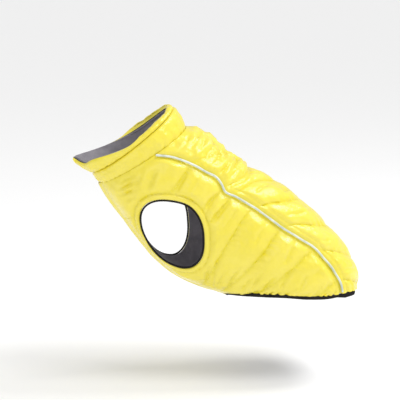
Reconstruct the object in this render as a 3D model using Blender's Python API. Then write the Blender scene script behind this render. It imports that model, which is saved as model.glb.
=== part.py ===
"""A padded dog coat, empty and open, in the hollow form that it keeps while it is worn sitting.

X runs from the neck (-X) to the rump (+X), Z is up and Y = 0 is the middle plane; the wearer's left
is -Y. The origin is on the inner face of the back, at the withers. The tables are in millimetres and
degrees. An angle goes round the body from the spine (0) over the wearer's left side (90) to the
middle of the front (180), and back over the right side as a negative angle. A station is the distance
along the body's axis from the neck seam. Each wall is a grid of points on one of two lofts, the body
and the collar, moved out along the loft's normal.
"""

import math
from typing import NamedTuple

import bmesh
import bpy
import numpy as np

MM = 0.001
OBJECT = "padded_dog_coat"

# The cloth
WALL = 1.8  # padded cloth where it is stitched down
PUFF = 3.5  # rise of a channel's middle above its stitch lines
PUFF_SHAPE = 0.7  # below 1 a channel is full beside its stitches
BODY_INSET = 4.5  # from the body sections' outline in to the wall's inner face
COLLAR_INSET = 6.5  # the same for the thicker collar
SEAM_GAP = 0.3  # between two pieces at a seam
SEAM_BAND = 9.0  # over which the padding fades to nothing at a panel's edge
LAP = 9.0  # the left front's reach past the middle, over the right front
LAP_RISE = 10.0  # over which the left front climbs on to the right one
FRONT_DEGREE = 0.85  # millimetres to a degree round the front

# Edges and trims
PIPING_RADIUS = 1.2
BINDING_RADIUS = 0.85
TUBE_SIDES = 1  # bevel resolution of the thin round trims
BACK_HEM_GAP = 0.4  # along the body, from the hem to its binding
FRONT_HEM_GAP = 1.0  # the same where the hem slants across the front
GATHER = 0.7  # swing of the elastic hem's gathers, in and out
GATHER_BAND = 14.0  # height over which the gathers fade

# The collar
LOWER_WALL = 2.0
LOWER_BULGE = 2.0
UPPER_WALL = 1.8
UPPER_BULGE = 1.8
LINING_WALL = 1.0
COLLAR_START = 1.2  # above the neck seam, clear of the body's edge
LINING_START = 2.5
LINING_GAP = 0.8  # inside the tiers' flat facets
COLLAR_END = 0.3  # degrees from the middle of the front to each end


class Section(NamedTuple):
    """One ring: its highest and lowest points in the middle plane, half width and squareness."""

    top_x: float
    top_z: float
    under_x: float
    under_z: float
    half_width: float
    squareness: float
    side_dip: float


BODY_SECTIONS = (
    #       top x  top z  under x under z half w. square dip
    Section(-9.5, 9.0, -91.0, -41.5, 37.0, 2.1, 0.0),  # neck seam
    Section(1.0, 5.5, -83.0, -54.0, 41.0, 2.1, 0.0),
    Section(12.5, -1.5, -71.5, -70.5, 45.0, 2.2, 0.0),  # withers
    Section(26.0, -13.0, -58.0, -89.0, 48.0, 2.2, 0.0),
    Section(38.0, -23.0, -44.5, -107.0, 50.0, 2.3, 0.0),  # behind the shoulders
    Section(51.5, -32.5, -28.5, -121.5, 51.0, 2.3, 0.0),
    Section(73.5, -44.0, -7.0, -134.0, 51.5, 2.3, 0.0),  # deepest of the chest
    Section(100.0, -65.5, 22.0, -145.0, 52.0, 2.3, 0.0),
    Section(125.0, -93.0, 46.0, -165.0, 52.0, 2.3, 0.0),
    Section(141.5, -121.0, 65.0, -190.0, 51.0, 2.3, 0.0),  # rump
    Section(138.5, -149.5, 76.0, -214.0, 49.0, 2.3, 0.0),
)
COLLAR_SECTIONS = (
    Section(-9.5, 9.0, -91.0, -41.5, 37.0, 2.1, 0.0),  # neck seam
    Section(-20.5, 28.0, -99.5, -32.5, 36.0, 2.2, 2.0),  # groove between the tiers
    Section(-23.5, 27.0, -117.5, -20.5, 35.0, 2.3, 9.0),  # rim
)
WIDER_ABOVE = 0.06  # share by which a ring is wider above its middle than below


class QuiltLine(NamedTuple):
    """A stitched line across the coat: its station at QUILT_ANGLES."""

    spine: float
    back: float
    piping: float
    side: float
    front: float


QUILT_ANGLES = (0.0, 35.0, 60.0, 90.0, 150.0)
QUILT_LINES = (
    #         spine back piping side front
    QuiltLine(0.0, 0.0, 0.0, 0.0, 0.0),  # neck seam
    QuiltLine(51.0, 38.0, 28.0, 32.0, 32.0),
    QuiltLine(79.0, 73.5, 63.0, 62.0, 62.0),  # fold behind the withers
    QuiltLine(106.0, 83.0, 74.0, 74.0, 74.0),
    QuiltLine(133.0, 118.0, 96.0, 97.5, 113.0),
    QuiltLine(166.0, 151.0, 128.0, 129.0, 131.0),
    QuiltLine(204.0, 182.0, 161.0, 158.0, 153.0),
    QuiltLine(226.0, 212.0, 195.0, 192.0, 182.0),
    QuiltLine(240.0, 238.0, 232.0, 226.0, 214.0),  # past the hem, which trims it off
)
CHANNEL_ROWS = 4
FULL_CHANNEL = 27.0  # a channel at least this wide puffs fully


class PipingKnot(NamedTuple):
    """The piped seam's angle from the spine at a station."""

    station: float
    angle: float


PIPING = (
    PipingKnot(0.0, 81.0),
    PipingKnot(8.0, 73.5),
    PipingKnot(18.0, 67.5),
    PipingKnot(29.0, 63.5),
    PipingKnot(40.0, 60.0),
    PipingKnot(50.0, 57.0),
    PipingKnot(58.5, 58.0),
    PipingKnot(65.5, 61.0),  # the fold behind the withers takes the seam down
    PipingKnot(77.0, 58.5),
    PipingKnot(93.0, 58.0),
    PipingKnot(110.0, 60.5),
    PipingKnot(127.0, 62.0),
    PipingKnot(142.0, 61.0),
    PipingKnot(157.0, 58.0),
    PipingKnot(171.0, 57.5),
    PipingKnot(186.0, 58.0),
    PipingKnot(197.0, 59.5),
    PipingKnot(206.0, 63.0),
    PipingKnot(236.0, 68.0),
)


class HemKnot(NamedTuple):
    """The hem's height at an angle."""

    angle: float
    height: float


HEM = (
    HemKnot(0.0, -141.0),
    HemKnot(25.0, -138.5),
    HemKnot(49.0, -136.2),
    HemKnot(64.0, -136.8),
    HemKnot(80.0, -137.5),
    HemKnot(95.0, -136.8),
    HemKnot(113.0, -135.0),
    HemKnot(135.0, -135.2),
    HemKnot(156.0, -136.8),
    HemKnot(180.0, -141.5),
)

# The armhole: an oval on the side panel, its length taken along the body before it is tilted
ARMHOLE_STATION = 60.5
ARMHOLE_ANGLE = 126.5
ARMHOLE_LONG = 28.6  # half sizes
ARMHOLE_WIDE = 32.0
ARMHOLE_TILT = -43.0
ARMHOLE_SQUARENESS = 2.4
ARMHOLE_POINTS = 42

# Grid sizes
BACK_COLUMNS, SIDE_COLUMNS = 17, 30
TIER_ROWS, LINING_ROWS, COLLAR_COLUMNS = 5, 6, 56
PIPING_POINTS = 40
HEM_COLUMNS = 84
HEM_CUT_POINTS = 144
HEM_CUT_FLOOR = -290.0


def smooth_between(knots, values, at):
    """The cubic curve through the rows of values, its slopes taken from each knot's neighbours."""
    knots, values, at = np.asarray(knots), np.asarray(values), np.asarray(at, float)
    slopes = np.gradient(values, knots, axis=0)
    right = np.clip(np.searchsorted(knots, at), 1, len(knots) - 1)
    left = right - 1
    width = knots[right] - knots[left]
    part = (at - knots[left]) / width
    if values.ndim > 1:
        width, part = width[..., None], part[..., None]
    start = values[left] * (1 + 2 * part) * (1 - part) ** 2
    end = values[right] * part**2 * (3 - 2 * part)
    bends = slopes[left] * part * (1 - part) ** 2 - slopes[right] * part**2 * (1 - part)
    return start + end + bends * width


def fade(distance, band):
    """0 at no distance, rising smoothly to 1 at the band's width."""
    part = np.clip(np.asarray(distance, float) / band, 0, 1)
    return part * part * (3 - 2 * part)


class Loft:
    """Rings through a table of sections, each standing in a plane across the middle plane."""

    def __init__(self, sections, inset):
        self.inset = inset
        self.table = np.array(sections, float)
        middles = (self.table[:, 0:2] + self.table[:, 2:4]) / 2
        steps = np.linalg.norm(np.diff(middles, axis=0), axis=1)
        self.stations = np.concatenate([[0.0], np.cumsum(steps)])
        self.out_sign = 1.0
        self.out_sign = -np.sign(self.normal(self.stations[1], 90.0)[1])

    def face(self, station, angle):
        """Points of the wall's inner face, in millimetres."""
        station, angle = np.broadcast_arrays(np.asarray(station, float), np.asarray(angle, float))
        row = smooth_between(self.stations, self.table, station)
        top, under = row[..., 0:2], row[..., 2:4]
        half_width, power, dip = row[..., 4] - self.inset, row[..., 5], row[..., 6]
        across = top - under
        depth = np.linalg.norm(across, axis=-1)
        across = across / depth[..., None]
        forward = np.stack([-across[..., 1], across[..., 0]], -1)
        turn = np.radians(angle)
        down, out = np.cos(turn), np.sin(turn)
        reach = (np.abs(down) ** power + np.abs(out) ** power) ** (-1 / power)
        along = across * (reach * down * (depth / 2 - self.inset))[..., None]
        middle = (top + under) / 2 + along - forward * (dip * out**2)[..., None]
        sideways = -half_width * reach * out * (1 + WIDER_ABOVE * down)
        return np.stack([middle[..., 0], sideways, middle[..., 1]], -1)

    def tangents(self, station, angle):
        """The loft's directions along the body and round it, per millimetre and per degree."""
        along = self.face(station + 0.5, angle) - self.face(station - 0.5, angle)
        around = self.face(station, angle + 0.5) - self.face(station, angle - 0.5)
        return along, around

    def normal(self, station, angle):
        """Unit normals that point out of the coat."""
        along, around = self.tangents(station, angle)
        out = np.cross(around, along) * self.out_sign
        return out / np.linalg.norm(out, axis=-1, keepdims=True)

    def raised(self, station, angle, rise):
        """Points moved out from the inner face by a rise."""
        station, angle = np.asarray(station, float), np.asarray(angle, float)
        rise = np.asarray(rise, float)
        return self.face(station, angle) + self.normal(station, angle) * rise[..., None]


BODY = Loft(BODY_SECTIONS, BODY_INSET)
COLLAR = Loft(COLLAR_SECTIONS, COLLAR_INSET)
GROOVE, RIM = COLLAR.stations[1:]
WITHERS_STATION = 20.0
WITHERS = BODY.face(WITHERS_STATION, 0.0)


def piping_angle(station):
    """The piped seam's angle from the spine."""
    knots = np.array(PIPING)
    return smooth_between(knots[:, 0], knots[:, 1], np.asarray(station, float))


def hem_table():
    """Angles round the body, and the station at which its inner face comes down to the hem."""
    knots = np.array(HEM)
    angles = np.linspace(-200.0, 200.0, 401)
    turn = np.minimum(np.abs(angles), 360 - np.abs(angles))
    heights = smooth_between(knots[:, 0], knots[:, 1], turn)
    trial = np.linspace(70.0, BODY.stations[-1], 160)
    stations = [
        np.interp(-height, -BODY.face(trial, angle)[:, 2], trial)
        for angle, height in zip(angles, heights)
    ]
    return angles, np.array(stations)


HEM_TABLE = hem_table()


def hem_station(angle):
    """The hem's station at an angle."""
    return np.interp(angle, *HEM_TABLE)


def lap_rise(angle):
    """Rise of the left front where it climbs over the right one at the middle of the front."""
    return (WALL + SEAM_GAP) * fade((angle - 180) * FRONT_DEGREE + LAP_RISE, LAP_RISE)


def armhole_outline(side):
    """Stations and angles round an armhole, side 1 for the left and -1 for the right."""
    turn = np.linspace(0, 2 * math.pi, ARMHOLE_POINTS, endpoint=False)
    power = ARMHOLE_SQUARENESS
    reach = (np.abs(np.cos(turn)) ** power + np.abs(np.sin(turn)) ** power) ** (-1 / power)
    long = ARMHOLE_LONG * reach * np.cos(turn)
    wide = ARMHOLE_WIDE * reach * np.sin(turn)
    tilt = math.radians(ARMHOLE_TILT)
    station = ARMHOLE_STATION + long * math.cos(tilt) - wide * math.sin(tilt)
    round_body = long * math.sin(tilt) + wide * math.cos(tilt)
    _, around = BODY.tangents(np.array(ARMHOLE_STATION), np.array(ARMHOLE_ANGLE))
    angle = ARMHOLE_ANGLE + round_body / np.linalg.norm(around)
    return station, side * angle


def armhole_distance(station, angle):
    """Rough distance outside the armhole's edge, in millimetres."""
    _, around = BODY.tangents(np.array(ARMHOLE_STATION), np.array(ARMHOLE_ANGLE))
    along = station - ARMHOLE_STATION
    round_body = (np.abs(angle) - ARMHOLE_ANGLE) * np.linalg.norm(around)
    tilt = math.radians(ARMHOLE_TILT)
    long = along * math.cos(tilt) + round_body * math.sin(tilt)
    wide = round_body * math.cos(tilt) - along * math.sin(tilt)
    power = ARMHOLE_SQUARENESS
    size = (np.abs(long / ARMHOLE_LONG) ** power + np.abs(wide / ARMHOLE_WIDE) ** power) ** (1 / power)
    return (size - 1) * (ARMHOLE_LONG + ARMHOLE_WIDE) / 2


def material(name, colour, roughness, metallic=0.0):
    """A plain finish."""
    made = bpy.data.materials.new(name)
    made.use_nodes = True
    shader = made.node_tree.nodes["Principled BSDF"]
    shader.inputs["Base Color"].default_value = (*colour, 1.0)
    shader.inputs["Roughness"].default_value = roughness
    shader.inputs["Metallic"].default_value = metallic
    made.diffuse_color = (*colour, 1.0)
    return made


def coat_objects():
    """Clears the scene and gives the collections for the coat's pieces and for the cutters."""
    for thing in list(bpy.data.objects):
        bpy.data.objects.remove(thing, do_unlink=True)
    found = []
    for name in (OBJECT, "cutters"):
        collection = bpy.data.collections.new(name)
        bpy.context.scene.collection.children.link(collection)
        found.append(collection)
    return found


def add_mesh(name, points, faces, collection, finish=None):
    """An object with the given millimetre points, set out from the withers, and its faces turned out."""
    mesh = bpy.data.meshes.new(name)
    mesh.from_pydata((points - WITHERS) * MM, [], faces)
    made = bmesh.new()
    made.from_mesh(mesh)
    bmesh.ops.triangulate(made, faces=made.faces)
    bmesh.ops.recalc_face_normals(made, faces=made.faces)
    made.to_mesh(mesh)
    made.free()
    mesh.shade_smooth()
    mesh.set_sharp_from_angle(angle=math.radians(50))
    if finish:
        mesh.materials.append(finish)
    thing = bpy.data.objects.new(name, mesh)
    collection.objects.link(thing)
    return thing


def wall_faces(rows, columns):
    """Quads of a closed wall: an outer grid, an inner grid and the strip round their edges."""
    index = np.arange(rows * columns).reshape(rows, columns)
    quads = np.stack([index[:-1, :-1], index[1:, :-1], index[1:, 1:], index[:-1, 1:]], -1)
    outer = quads.reshape(-1, 4)
    inner = outer[:, ::-1] + rows * columns
    edge = np.concatenate([index[0, :-1], index[:-1, -1], index[-1, :0:-1], index[:0:-1, 0]])
    after = np.roll(edge, -1)
    inside = rows * columns
    strip = np.stack([edge, after, after + inside, edge + inside], -1)
    return np.concatenate([outer, inner, strip]).tolist()


def add_wall(name, loft, station, angle, low, high, collection, finish):
    """A closed wall over a grid of stations and angles, between two rises."""
    shape = np.shape(station)
    low, high = np.broadcast_to(low, shape), np.broadcast_to(high, shape)
    outer = loft.raised(station, angle, high)
    inner = loft.raised(station, angle, low)
    points = np.concatenate([outer.reshape(-1, 3), inner.reshape(-1, 3)])
    return add_mesh(name, points, wall_faces(*shape), collection, finish)


def add_tube(name, points, radius, closed, collection, finish):
    """A thin round trim along millimetre points."""
    curve = bpy.data.curves.new(name, "CURVE")
    curve.dimensions = "3D"
    curve.bevel_depth = radius * MM
    curve.bevel_resolution = TUBE_SIDES
    curve.use_fill_caps = True
    spline = curve.splines.new("POLY")
    spline.points.add(len(points) - 1)
    for knot, place in zip(spline.points, (points - WITHERS) * MM):
        knot.co = (*place, 1.0)
    spline.use_cyclic_u = closed
    curve.materials.append(finish)
    thing = bpy.data.objects.new(name, curve)
    collection.objects.link(thing)
    return thing


def quilted_grid(columns, first_angle, last_angle):
    """A body panel's stations, angles and padding.

    The rows follow the stitched lines, with equal steps between them, and the columns run between two
    seams, whose angles are functions of the station.
    """
    over = np.linspace(0, 1, columns)[None, :]
    share = np.arange(CHANNEL_ROWS * (len(QUILT_LINES) - 1) + 1)[:, None] / CHANNEL_ROWS
    line = np.minimum(share.astype(int), len(QUILT_LINES) - 2)
    part = share - line
    lines = np.array(QUILT_LINES)
    station = lines[line[:, 0], 1][:, None] + 0 * over
    for _ in range(5):
        first, last = first_angle(station[:, :1]), last_angle(station[:, -1:])
        angle = first + (last - first) * over
        turn = np.minimum(np.abs(angle), 360 - np.abs(angle))
        curves = np.stack([np.interp(turn, QUILT_ANGLES, row) for row in lines])
        column = np.arange(columns)[None, :]
        row = np.arange(len(share))[:, None]
        before, after = curves[line, row, column], curves[line + 1, row, column]
        station = before + (after - before) * part
    width = np.minimum(1.0, (after - before) / FULL_CHANNEL)
    puff = PUFF * width * np.sin(np.pi * part) ** PUFF_SHAPE
    return station, angle, puff


def gather(station, angle):
    """The elastic hem's gathers: each column swings the other way, fading up from the hem."""
    swing = (-1.0) ** np.arange(np.shape(angle)[1])
    swing[[0, -1]] = 0
    above = np.abs(hem_station(angle) - station)
    return GATHER * swing * fade(1 - above / GATHER_BAND, 1)


def seam_fade(station, angle, seams, clear=1.0):
    """Fades the padding near neck and hem, and near seams whose angles are given row by row."""
    _, around = BODY.tangents(station, angle)
    per_degree = np.linalg.norm(around, axis=-1)
    kept = fade(station, SEAM_BAND) * fade(np.abs(hem_station(angle) - station), SEAM_BAND)
    for seam in seams:
        kept = kept * fade(np.abs(angle - seam) * per_degree - clear, SEAM_BAND)
    return kept


def seam_shift(station, angle):
    """Half the seam's gap as an angle."""
    _, around = BODY.tangents(station, angle)
    return SEAM_GAP / 2 / np.linalg.norm(around, axis=-1)


def cut_away(panel, cutter):
    """Takes a cutter's volume out of a panel."""
    cut = panel.modifiers.new(cutter.name, "BOOLEAN")
    cut.object = cutter
    cut.operation = "DIFFERENCE"
    cut.solver = "EXACT"


def add_back(collection, hem_cutter, finish):
    """The back panel, from one piped seam over the spine to the other."""

    def left_seam(station):
        seam = piping_angle(station)
        return seam - seam_shift(station, seam)

    def right_seam(station):
        return -left_seam(station)

    station, angle, puff = quilted_grid(BACK_COLUMNS, right_seam, left_seam)
    puff = puff * seam_fade(station, angle, (angle[:, :1], angle[:, -1:]))
    low = gather(station, angle)
    panel = add_wall("back_panel", BODY, station, angle, low, low + WALL + puff, collection, finish)
    cut_away(panel, hem_cutter)


def add_side(name, side, collection, cutters, hem_cutter, finish):
    """A side panel, from the piped seam round to the middle of the front, with its armhole."""
    reach = LAP / FRONT_DEGREE if side > 0 else 0.0

    def back_seam(station):
        seam = piping_angle(station)
        return seam + seam_shift(station, seam)

    def front_edge(station):
        return 180.0 + reach + 0 * station

    station, angle, puff = quilted_grid(SIDE_COLUMNS, back_seam, front_edge)
    puff = puff * seam_fade(station, angle, (angle[:, :1],))
    puff = puff * fade((180 - angle) * FRONT_DEGREE - LAP - 1, SEAM_BAND)
    puff = puff * fade(armhole_distance(station, angle), SEAM_BAND)
    low = gather(station, angle) * fade(175 - angle, 12)
    if side > 0:
        low = low + lap_rise(angle)
    panel = add_wall(
        name, BODY, station, side * angle, low, low + WALL + puff, collection, finish
    )
    cut_away(panel, add_armhole_cutter(name + "_armhole", side, cutters))
    cut_away(panel, hem_cutter)


def add_hem_cutter(collection):
    """All that lies below the hem: a plug whose top follows the hem out along the wall's normals."""
    angle = np.linspace(-180, 180, HEM_CUT_POINTS, endpoint=False)
    station = hem_station(angle)
    inside = BODY.raised(station, angle, np.full(HEM_CUT_POINTS, -12.0))
    outside = BODY.raised(station, angle, np.full(HEM_CUT_POINTS, 20.0))
    floor = outside * (1, 1, 0) + (0, 0, HEM_CUT_FLOOR)
    ends = np.stack([inside.mean(0), floor.mean(0)])
    points = np.concatenate([inside, outside, floor, ends])
    faces = ring_faces(HEM_CUT_POINTS, 0) + ring_faces(HEM_CUT_POINTS, 1)
    faces += fan_faces(HEM_CUT_POINTS, 0, 3 * HEM_CUT_POINTS)
    faces += fan_faces(HEM_CUT_POINTS, 2, 3 * HEM_CUT_POINTS + 1)
    return add_cutter("below_hem", points, faces, collection)


def ring_faces(count, ring):
    """Quads between a ring of points and the next ring."""
    index = np.arange(count)
    after = np.roll(index, -1)
    return (np.stack([index, after, after + count, index + count], -1) + ring * count).tolist()


def fan_faces(count, ring, centre):
    """Triangles from a ring of points to one centre point."""
    index = np.arange(count)
    after = np.roll(index, -1)
    return np.stack([index + ring * count, after + ring * count, 0 * index + centre], -1).tolist()


def add_cutter(name, points, faces, collection):
    """A helper that a panel is cut with."""
    cutter = add_mesh(name, points, faces, collection)
    cutter.hide_render = True
    cutter.display_type = "WIRE"
    return cutter


def add_armhole_cutter(name, side, cutters):
    """A plug through the side wall along its normals, closed by a fan at each end."""
    station, angle = armhole_outline(side)
    inside = BODY.raised(station, angle, np.full(ARMHOLE_POINTS, -8.0))
    outside = BODY.raised(station, angle, np.full(ARMHOLE_POINTS, 16.0))
    points = np.concatenate([inside, outside, [inside.mean(0), outside.mean(0)]])
    faces = ring_faces(ARMHOLE_POINTS, 0)
    faces += fan_faces(ARMHOLE_POINTS, 0, 2 * ARMHOLE_POINTS)
    faces += fan_faces(ARMHOLE_POINTS, 1, 2 * ARMHOLE_POINTS + 1)
    return add_cutter(name, points, faces, cutters)


def add_armhole_binding(name, side, collection, finish):
    """A thin round edge just inside the cut."""
    station, angle = armhole_outline(side)
    edge = BODY.raised(station, angle, np.full(len(station), WALL / 2))
    inward = np.roll(edge, -1, 0) - np.roll(edge, 1, 0)
    inward = np.cross(inward, BODY.normal(station, angle)) * side
    inward = inward / np.linalg.norm(inward, axis=-1, keepdims=True)
    toward_middle = (edge.mean(0) - edge) * inward
    inward = inward * np.sign(toward_middle.sum(-1, keepdims=True))
    path = edge + inward * (BINDING_RADIUS + SEAM_GAP + 0.05)
    return add_tube(name, path, BINDING_RADIUS, True, collection, finish)


def add_piping(name, side, collection, finish):
    """The reflective cord that lies on the back seam."""
    share = np.linspace(0.004, 0.996, PIPING_POINTS)
    station = share * 200
    for _ in range(6):
        station = share * hem_station(piping_angle(station))
    angle = side * piping_angle(station)
    rise = np.full(PIPING_POINTS, WALL + SEAM_GAP + PIPING_RADIUS)
    rise += GATHER * fade(1 - (hem_station(angle) - station) / GATHER_BAND, 1)
    return add_tube(name, BODY.raised(station, angle, rise), PIPING_RADIUS, False, collection, finish)


def add_hem_binding(collection, finish):
    """The black elastic edge under the hem, open where the left front laps over the right."""
    angle = np.linspace(-180, 180 + LAP / FRONT_DEGREE, HEM_COLUMNS)[None, :]
    height = np.interp(np.abs(angle), (0, 30, 60, 80, 180), (4.0, 4.0, 3.5, 2.0, 2.5))
    down = np.array([[0.0], [0.5], [1.0]])
    gap = np.interp(np.abs(angle), (90, 115), (BACK_HEM_GAP, FRONT_HEM_GAP))
    station = hem_station(angle) + gap + down * height
    angle = angle + 0 * down
    low = lap_rise(angle)
    return add_wall("hem_binding", BODY, station, angle, low, low + WALL, collection, finish)


def collar_grid(first, last, rows):
    """Stations, angles and the share of the way up, of a band of the collar."""
    angle = np.linspace(-180 + COLLAR_END, 180 - COLLAR_END, COLLAR_COLUMNS)[None, :]
    up = np.linspace(0, 1, rows)[:, None]
    return first + (last - first) * up + 0 * angle, angle + 0 * up, up + 0 * angle


def add_lower_tier(collection, finish):
    """The collar's lower roll: thin at the neck seam and the groove, full between them."""
    station, angle, up = collar_grid(COLLAR_START, GROOVE - SEAM_GAP, TIER_ROWS)
    thick = LOWER_WALL + LOWER_BULGE * np.sin(np.pi * up) ** PUFF_SHAPE
    add_wall("collar_lower", COLLAR, station, angle, 0.0, thick, collection, finish)


def add_upper_tier(collection, finish):
    """The collar's upper roll: it stands in the groove and closes over its rim."""
    station, angle, up = collar_grid(GROOVE, RIM, TIER_ROWS)
    thick = UPPER_WALL + UPPER_BULGE * np.sin(np.pi * up) ** PUFF_SHAPE
    add_wall("collar_upper", COLLAR, station, angle, 0.0, thick, collection, finish)


def add_lining(collection, finish):
    """The collar's lining, inside both tiers and up to the rim."""
    station, angle, _ = collar_grid(LINING_START, RIM - 0.6, LINING_ROWS)
    low, high = -LINING_GAP - LINING_WALL, -LINING_GAP
    add_wall("collar_lining", COLLAR, station, angle, low, high, collection, finish)


def main():
    """Builds the coat."""
    coat, cutters = coat_objects()
    yellow = material("yellow_padded_cloth", (0.90, 0.76, 0.06), 0.38)
    piping = material("reflective_piping", (0.70, 0.76, 0.72), 0.35)
    black = material("black_elastic", (0.02, 0.02, 0.03), 0.6)
    grey = material("grey_lining", (0.17, 0.15, 0.20), 0.6)
    hem_cutter = add_hem_cutter(cutters)
    add_back(coat, hem_cutter, yellow)
    for name, side in (("left", 1), ("right", -1)):
        add_side(f"side_panel_{name}", side, coat, cutters, hem_cutter, yellow)
        add_armhole_binding(f"armhole_binding_{name}", side, coat, black)
        add_piping(f"piping_{name}", side, coat, piping)
    add_hem_binding(coat, black)
    add_lower_tier(coat, yellow)
    add_upper_tier(coat, yellow)
    add_lining(coat, grey)


if __name__ == "__main__":
    main()
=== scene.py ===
"""A padded dog coat, dressed in fine cloth over its solids.

Lengths in the tables are millimetres, and angles are degrees. A station is the distance along the body's
axis from the neck seam. An angle goes round the body from the spine (0) over the wearer's left side (90)
to the middle of the front (180), and over the right side as a negative angle. Every piece is a grid of
stations and angles on one of two lofts, moved out along the loft's normal by a height in millimetres.
"""

from __future__ import annotations

import logging
import math
from dataclasses import dataclass
from enum import Enum
from typing import Callable, NamedTuple

import bpy
import numpy as np
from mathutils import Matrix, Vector

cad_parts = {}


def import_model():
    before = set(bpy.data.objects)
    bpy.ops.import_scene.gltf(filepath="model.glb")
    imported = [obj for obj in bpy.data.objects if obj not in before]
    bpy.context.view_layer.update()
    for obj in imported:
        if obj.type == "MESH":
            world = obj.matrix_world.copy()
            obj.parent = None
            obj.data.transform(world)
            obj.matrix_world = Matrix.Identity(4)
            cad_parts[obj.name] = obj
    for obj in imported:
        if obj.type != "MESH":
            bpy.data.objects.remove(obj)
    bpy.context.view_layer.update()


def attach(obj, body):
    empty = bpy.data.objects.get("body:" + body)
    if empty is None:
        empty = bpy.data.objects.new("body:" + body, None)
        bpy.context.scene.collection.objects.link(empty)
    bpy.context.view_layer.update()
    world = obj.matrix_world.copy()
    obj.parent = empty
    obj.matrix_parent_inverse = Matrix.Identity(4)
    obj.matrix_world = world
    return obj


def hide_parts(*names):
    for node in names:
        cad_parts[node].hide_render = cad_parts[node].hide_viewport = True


MM = 0.001
LOG = logging.getLogger("coat")
Array = np.ndarray
Thing = bpy.types.Object
Material = bpy.types.Material
Socket = bpy.types.NodeSocket
ROOT = "root"


class Side(Enum):
    """Which half of the coat a piece is on; the value turns a left angle into this side's."""

    LEFT = 1
    RIGHT = -1

    @property
    def word(self) -> str:
        """The side as the pieces' names say it."""
        return self.name.lower()


# ---- The coat's shape ----


class Section(NamedTuple):
    """One ring: its highest and lowest points in the middle plane, half width, squareness and dip."""

    top_x: float
    top_z: float
    under_x: float
    under_z: float
    half_width: float
    squareness: float
    side_dip: float  # how far its sides bow along the body


BODY_SECTIONS = (
    #       top x  top z  under x under z half w. square dip
    Section(-9.5, 9.0, -91.0, -41.5, 37.0, 2.1, 0.0),  # neck seam
    Section(1.0, 5.5, -83.0, -54.0, 41.0, 2.1, 0.0),
    Section(12.5, -1.5, -71.5, -70.5, 45.0, 2.2, 0.0),  # withers
    Section(26.0, -13.0, -58.0, -89.0, 48.0, 2.2, 0.0),
    Section(38.0, -23.0, -44.5, -107.0, 50.0, 2.3, 0.0),  # behind the shoulders
    Section(51.5, -32.5, -28.5, -121.5, 51.0, 2.3, 0.0),
    Section(73.5, -44.0, -7.0, -134.0, 51.5, 2.3, 0.0),  # deepest of the chest
    Section(100.0, -65.5, 22.0, -145.0, 52.0, 2.3, 0.0),
    Section(125.0, -93.0, 46.0, -165.0, 52.0, 2.3, 0.0),
    Section(141.5, -121.0, 65.0, -190.0, 51.0, 2.3, 0.0),  # rump
    Section(138.5, -149.5, 76.0, -214.0, 49.0, 2.3, 0.0),
)
COLLAR_SECTIONS = (
    Section(-9.5, 9.0, -91.0, -41.5, 37.0, 2.1, 0.0),  # neck seam
    Section(-20.5, 28.0, -99.5, -32.5, 36.0, 2.2, 2.0),  # groove between the tiers
    Section(-23.5, 27.0, -117.5, -20.5, 35.0, 2.3, 9.0),  # rim
)

QUILT_ANGLES = (0.0, 35.0, 60.0, 90.0, 150.0)

# the stitched lines across the coat: the stations of each at QUILT_ANGLES
QUILT_LINES = (
    (0.0, 0.0, 0.0, 0.0, 0.0),  # neck seam
    (51.0, 38.0, 28.0, 32.0, 32.0),
    (79.0, 73.5, 63.0, 62.0, 62.0),  # fold behind the withers
    (106.0, 83.0, 74.0, 74.0, 74.0),
    (133.0, 118.0, 96.0, 97.5, 113.0),
    (166.0, 151.0, 128.0, 129.0, 131.0),
    (204.0, 182.0, 161.0, 158.0, 153.0),
    (226.0, 212.0, 195.0, 192.0, 182.0),
    (240.0, 238.0, 232.0, 226.0, 214.0),  # past the hem
)


# (station, angle) along the piped seam, which the fold behind the withers takes down at 65.5
PIPING_LINE = (
    (0, 81), (8, 73.5), (18, 67.5), (29, 63.5), (40, 60), (50, 57), (58.5, 58), (65.5, 61), (77, 58.5),
    (93, 58), (110, 60.5), (127, 62), (142, 61), (157, 58), (171, 57.5), (186, 58), (197, 59.5),
    (206, 63), (236, 68),
)
# (angle, height) round the hem
HEM_LINE = (
    (0, -141), (25, -138.5), (49, -136.2), (64, -136.8), (80, -137.5), (95, -136.8), (113, -135),
    (135, -135.2), (156, -136.8), (180, -141.5),
)
# the elastic's height, its gap from the hem and its rise past the cloth: angles, then the values there
HEM_TALL = (0, 60, 70, 84, 100, 150, 172, 180), (4.6, 4.6, 3.0, 4.0, 4.8, 5.0, 3.4, 2.8)
HEM_GAP = (90, 115), (0.3, 0.5)
HEM_RISE = (95, 125, 158, 176), (0.0, 1.0, 1.0, -0.4)
WITHERS_STATION = 20.0
ROUND_MM = 0.88  # millimetres to a degree round the body, on average
FRONT_MM = 0.85  # the same near the middle of the front
COLLAR_MM = 0.6  # the same round the collar
CORD_STEP = 0.44  # round a cord from one point to the next, on the cloth map
FAR = 99.0  # further than any pucker reaches
SETTLING = 6  # rounds in which a line and the seam or hem it ends on settle together
SEAM_GAP = 0.2  # degrees between a panel's edge and the piped seam
TOPSTITCH = 6.0  # from the piped seam to the stitches beside it


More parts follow.
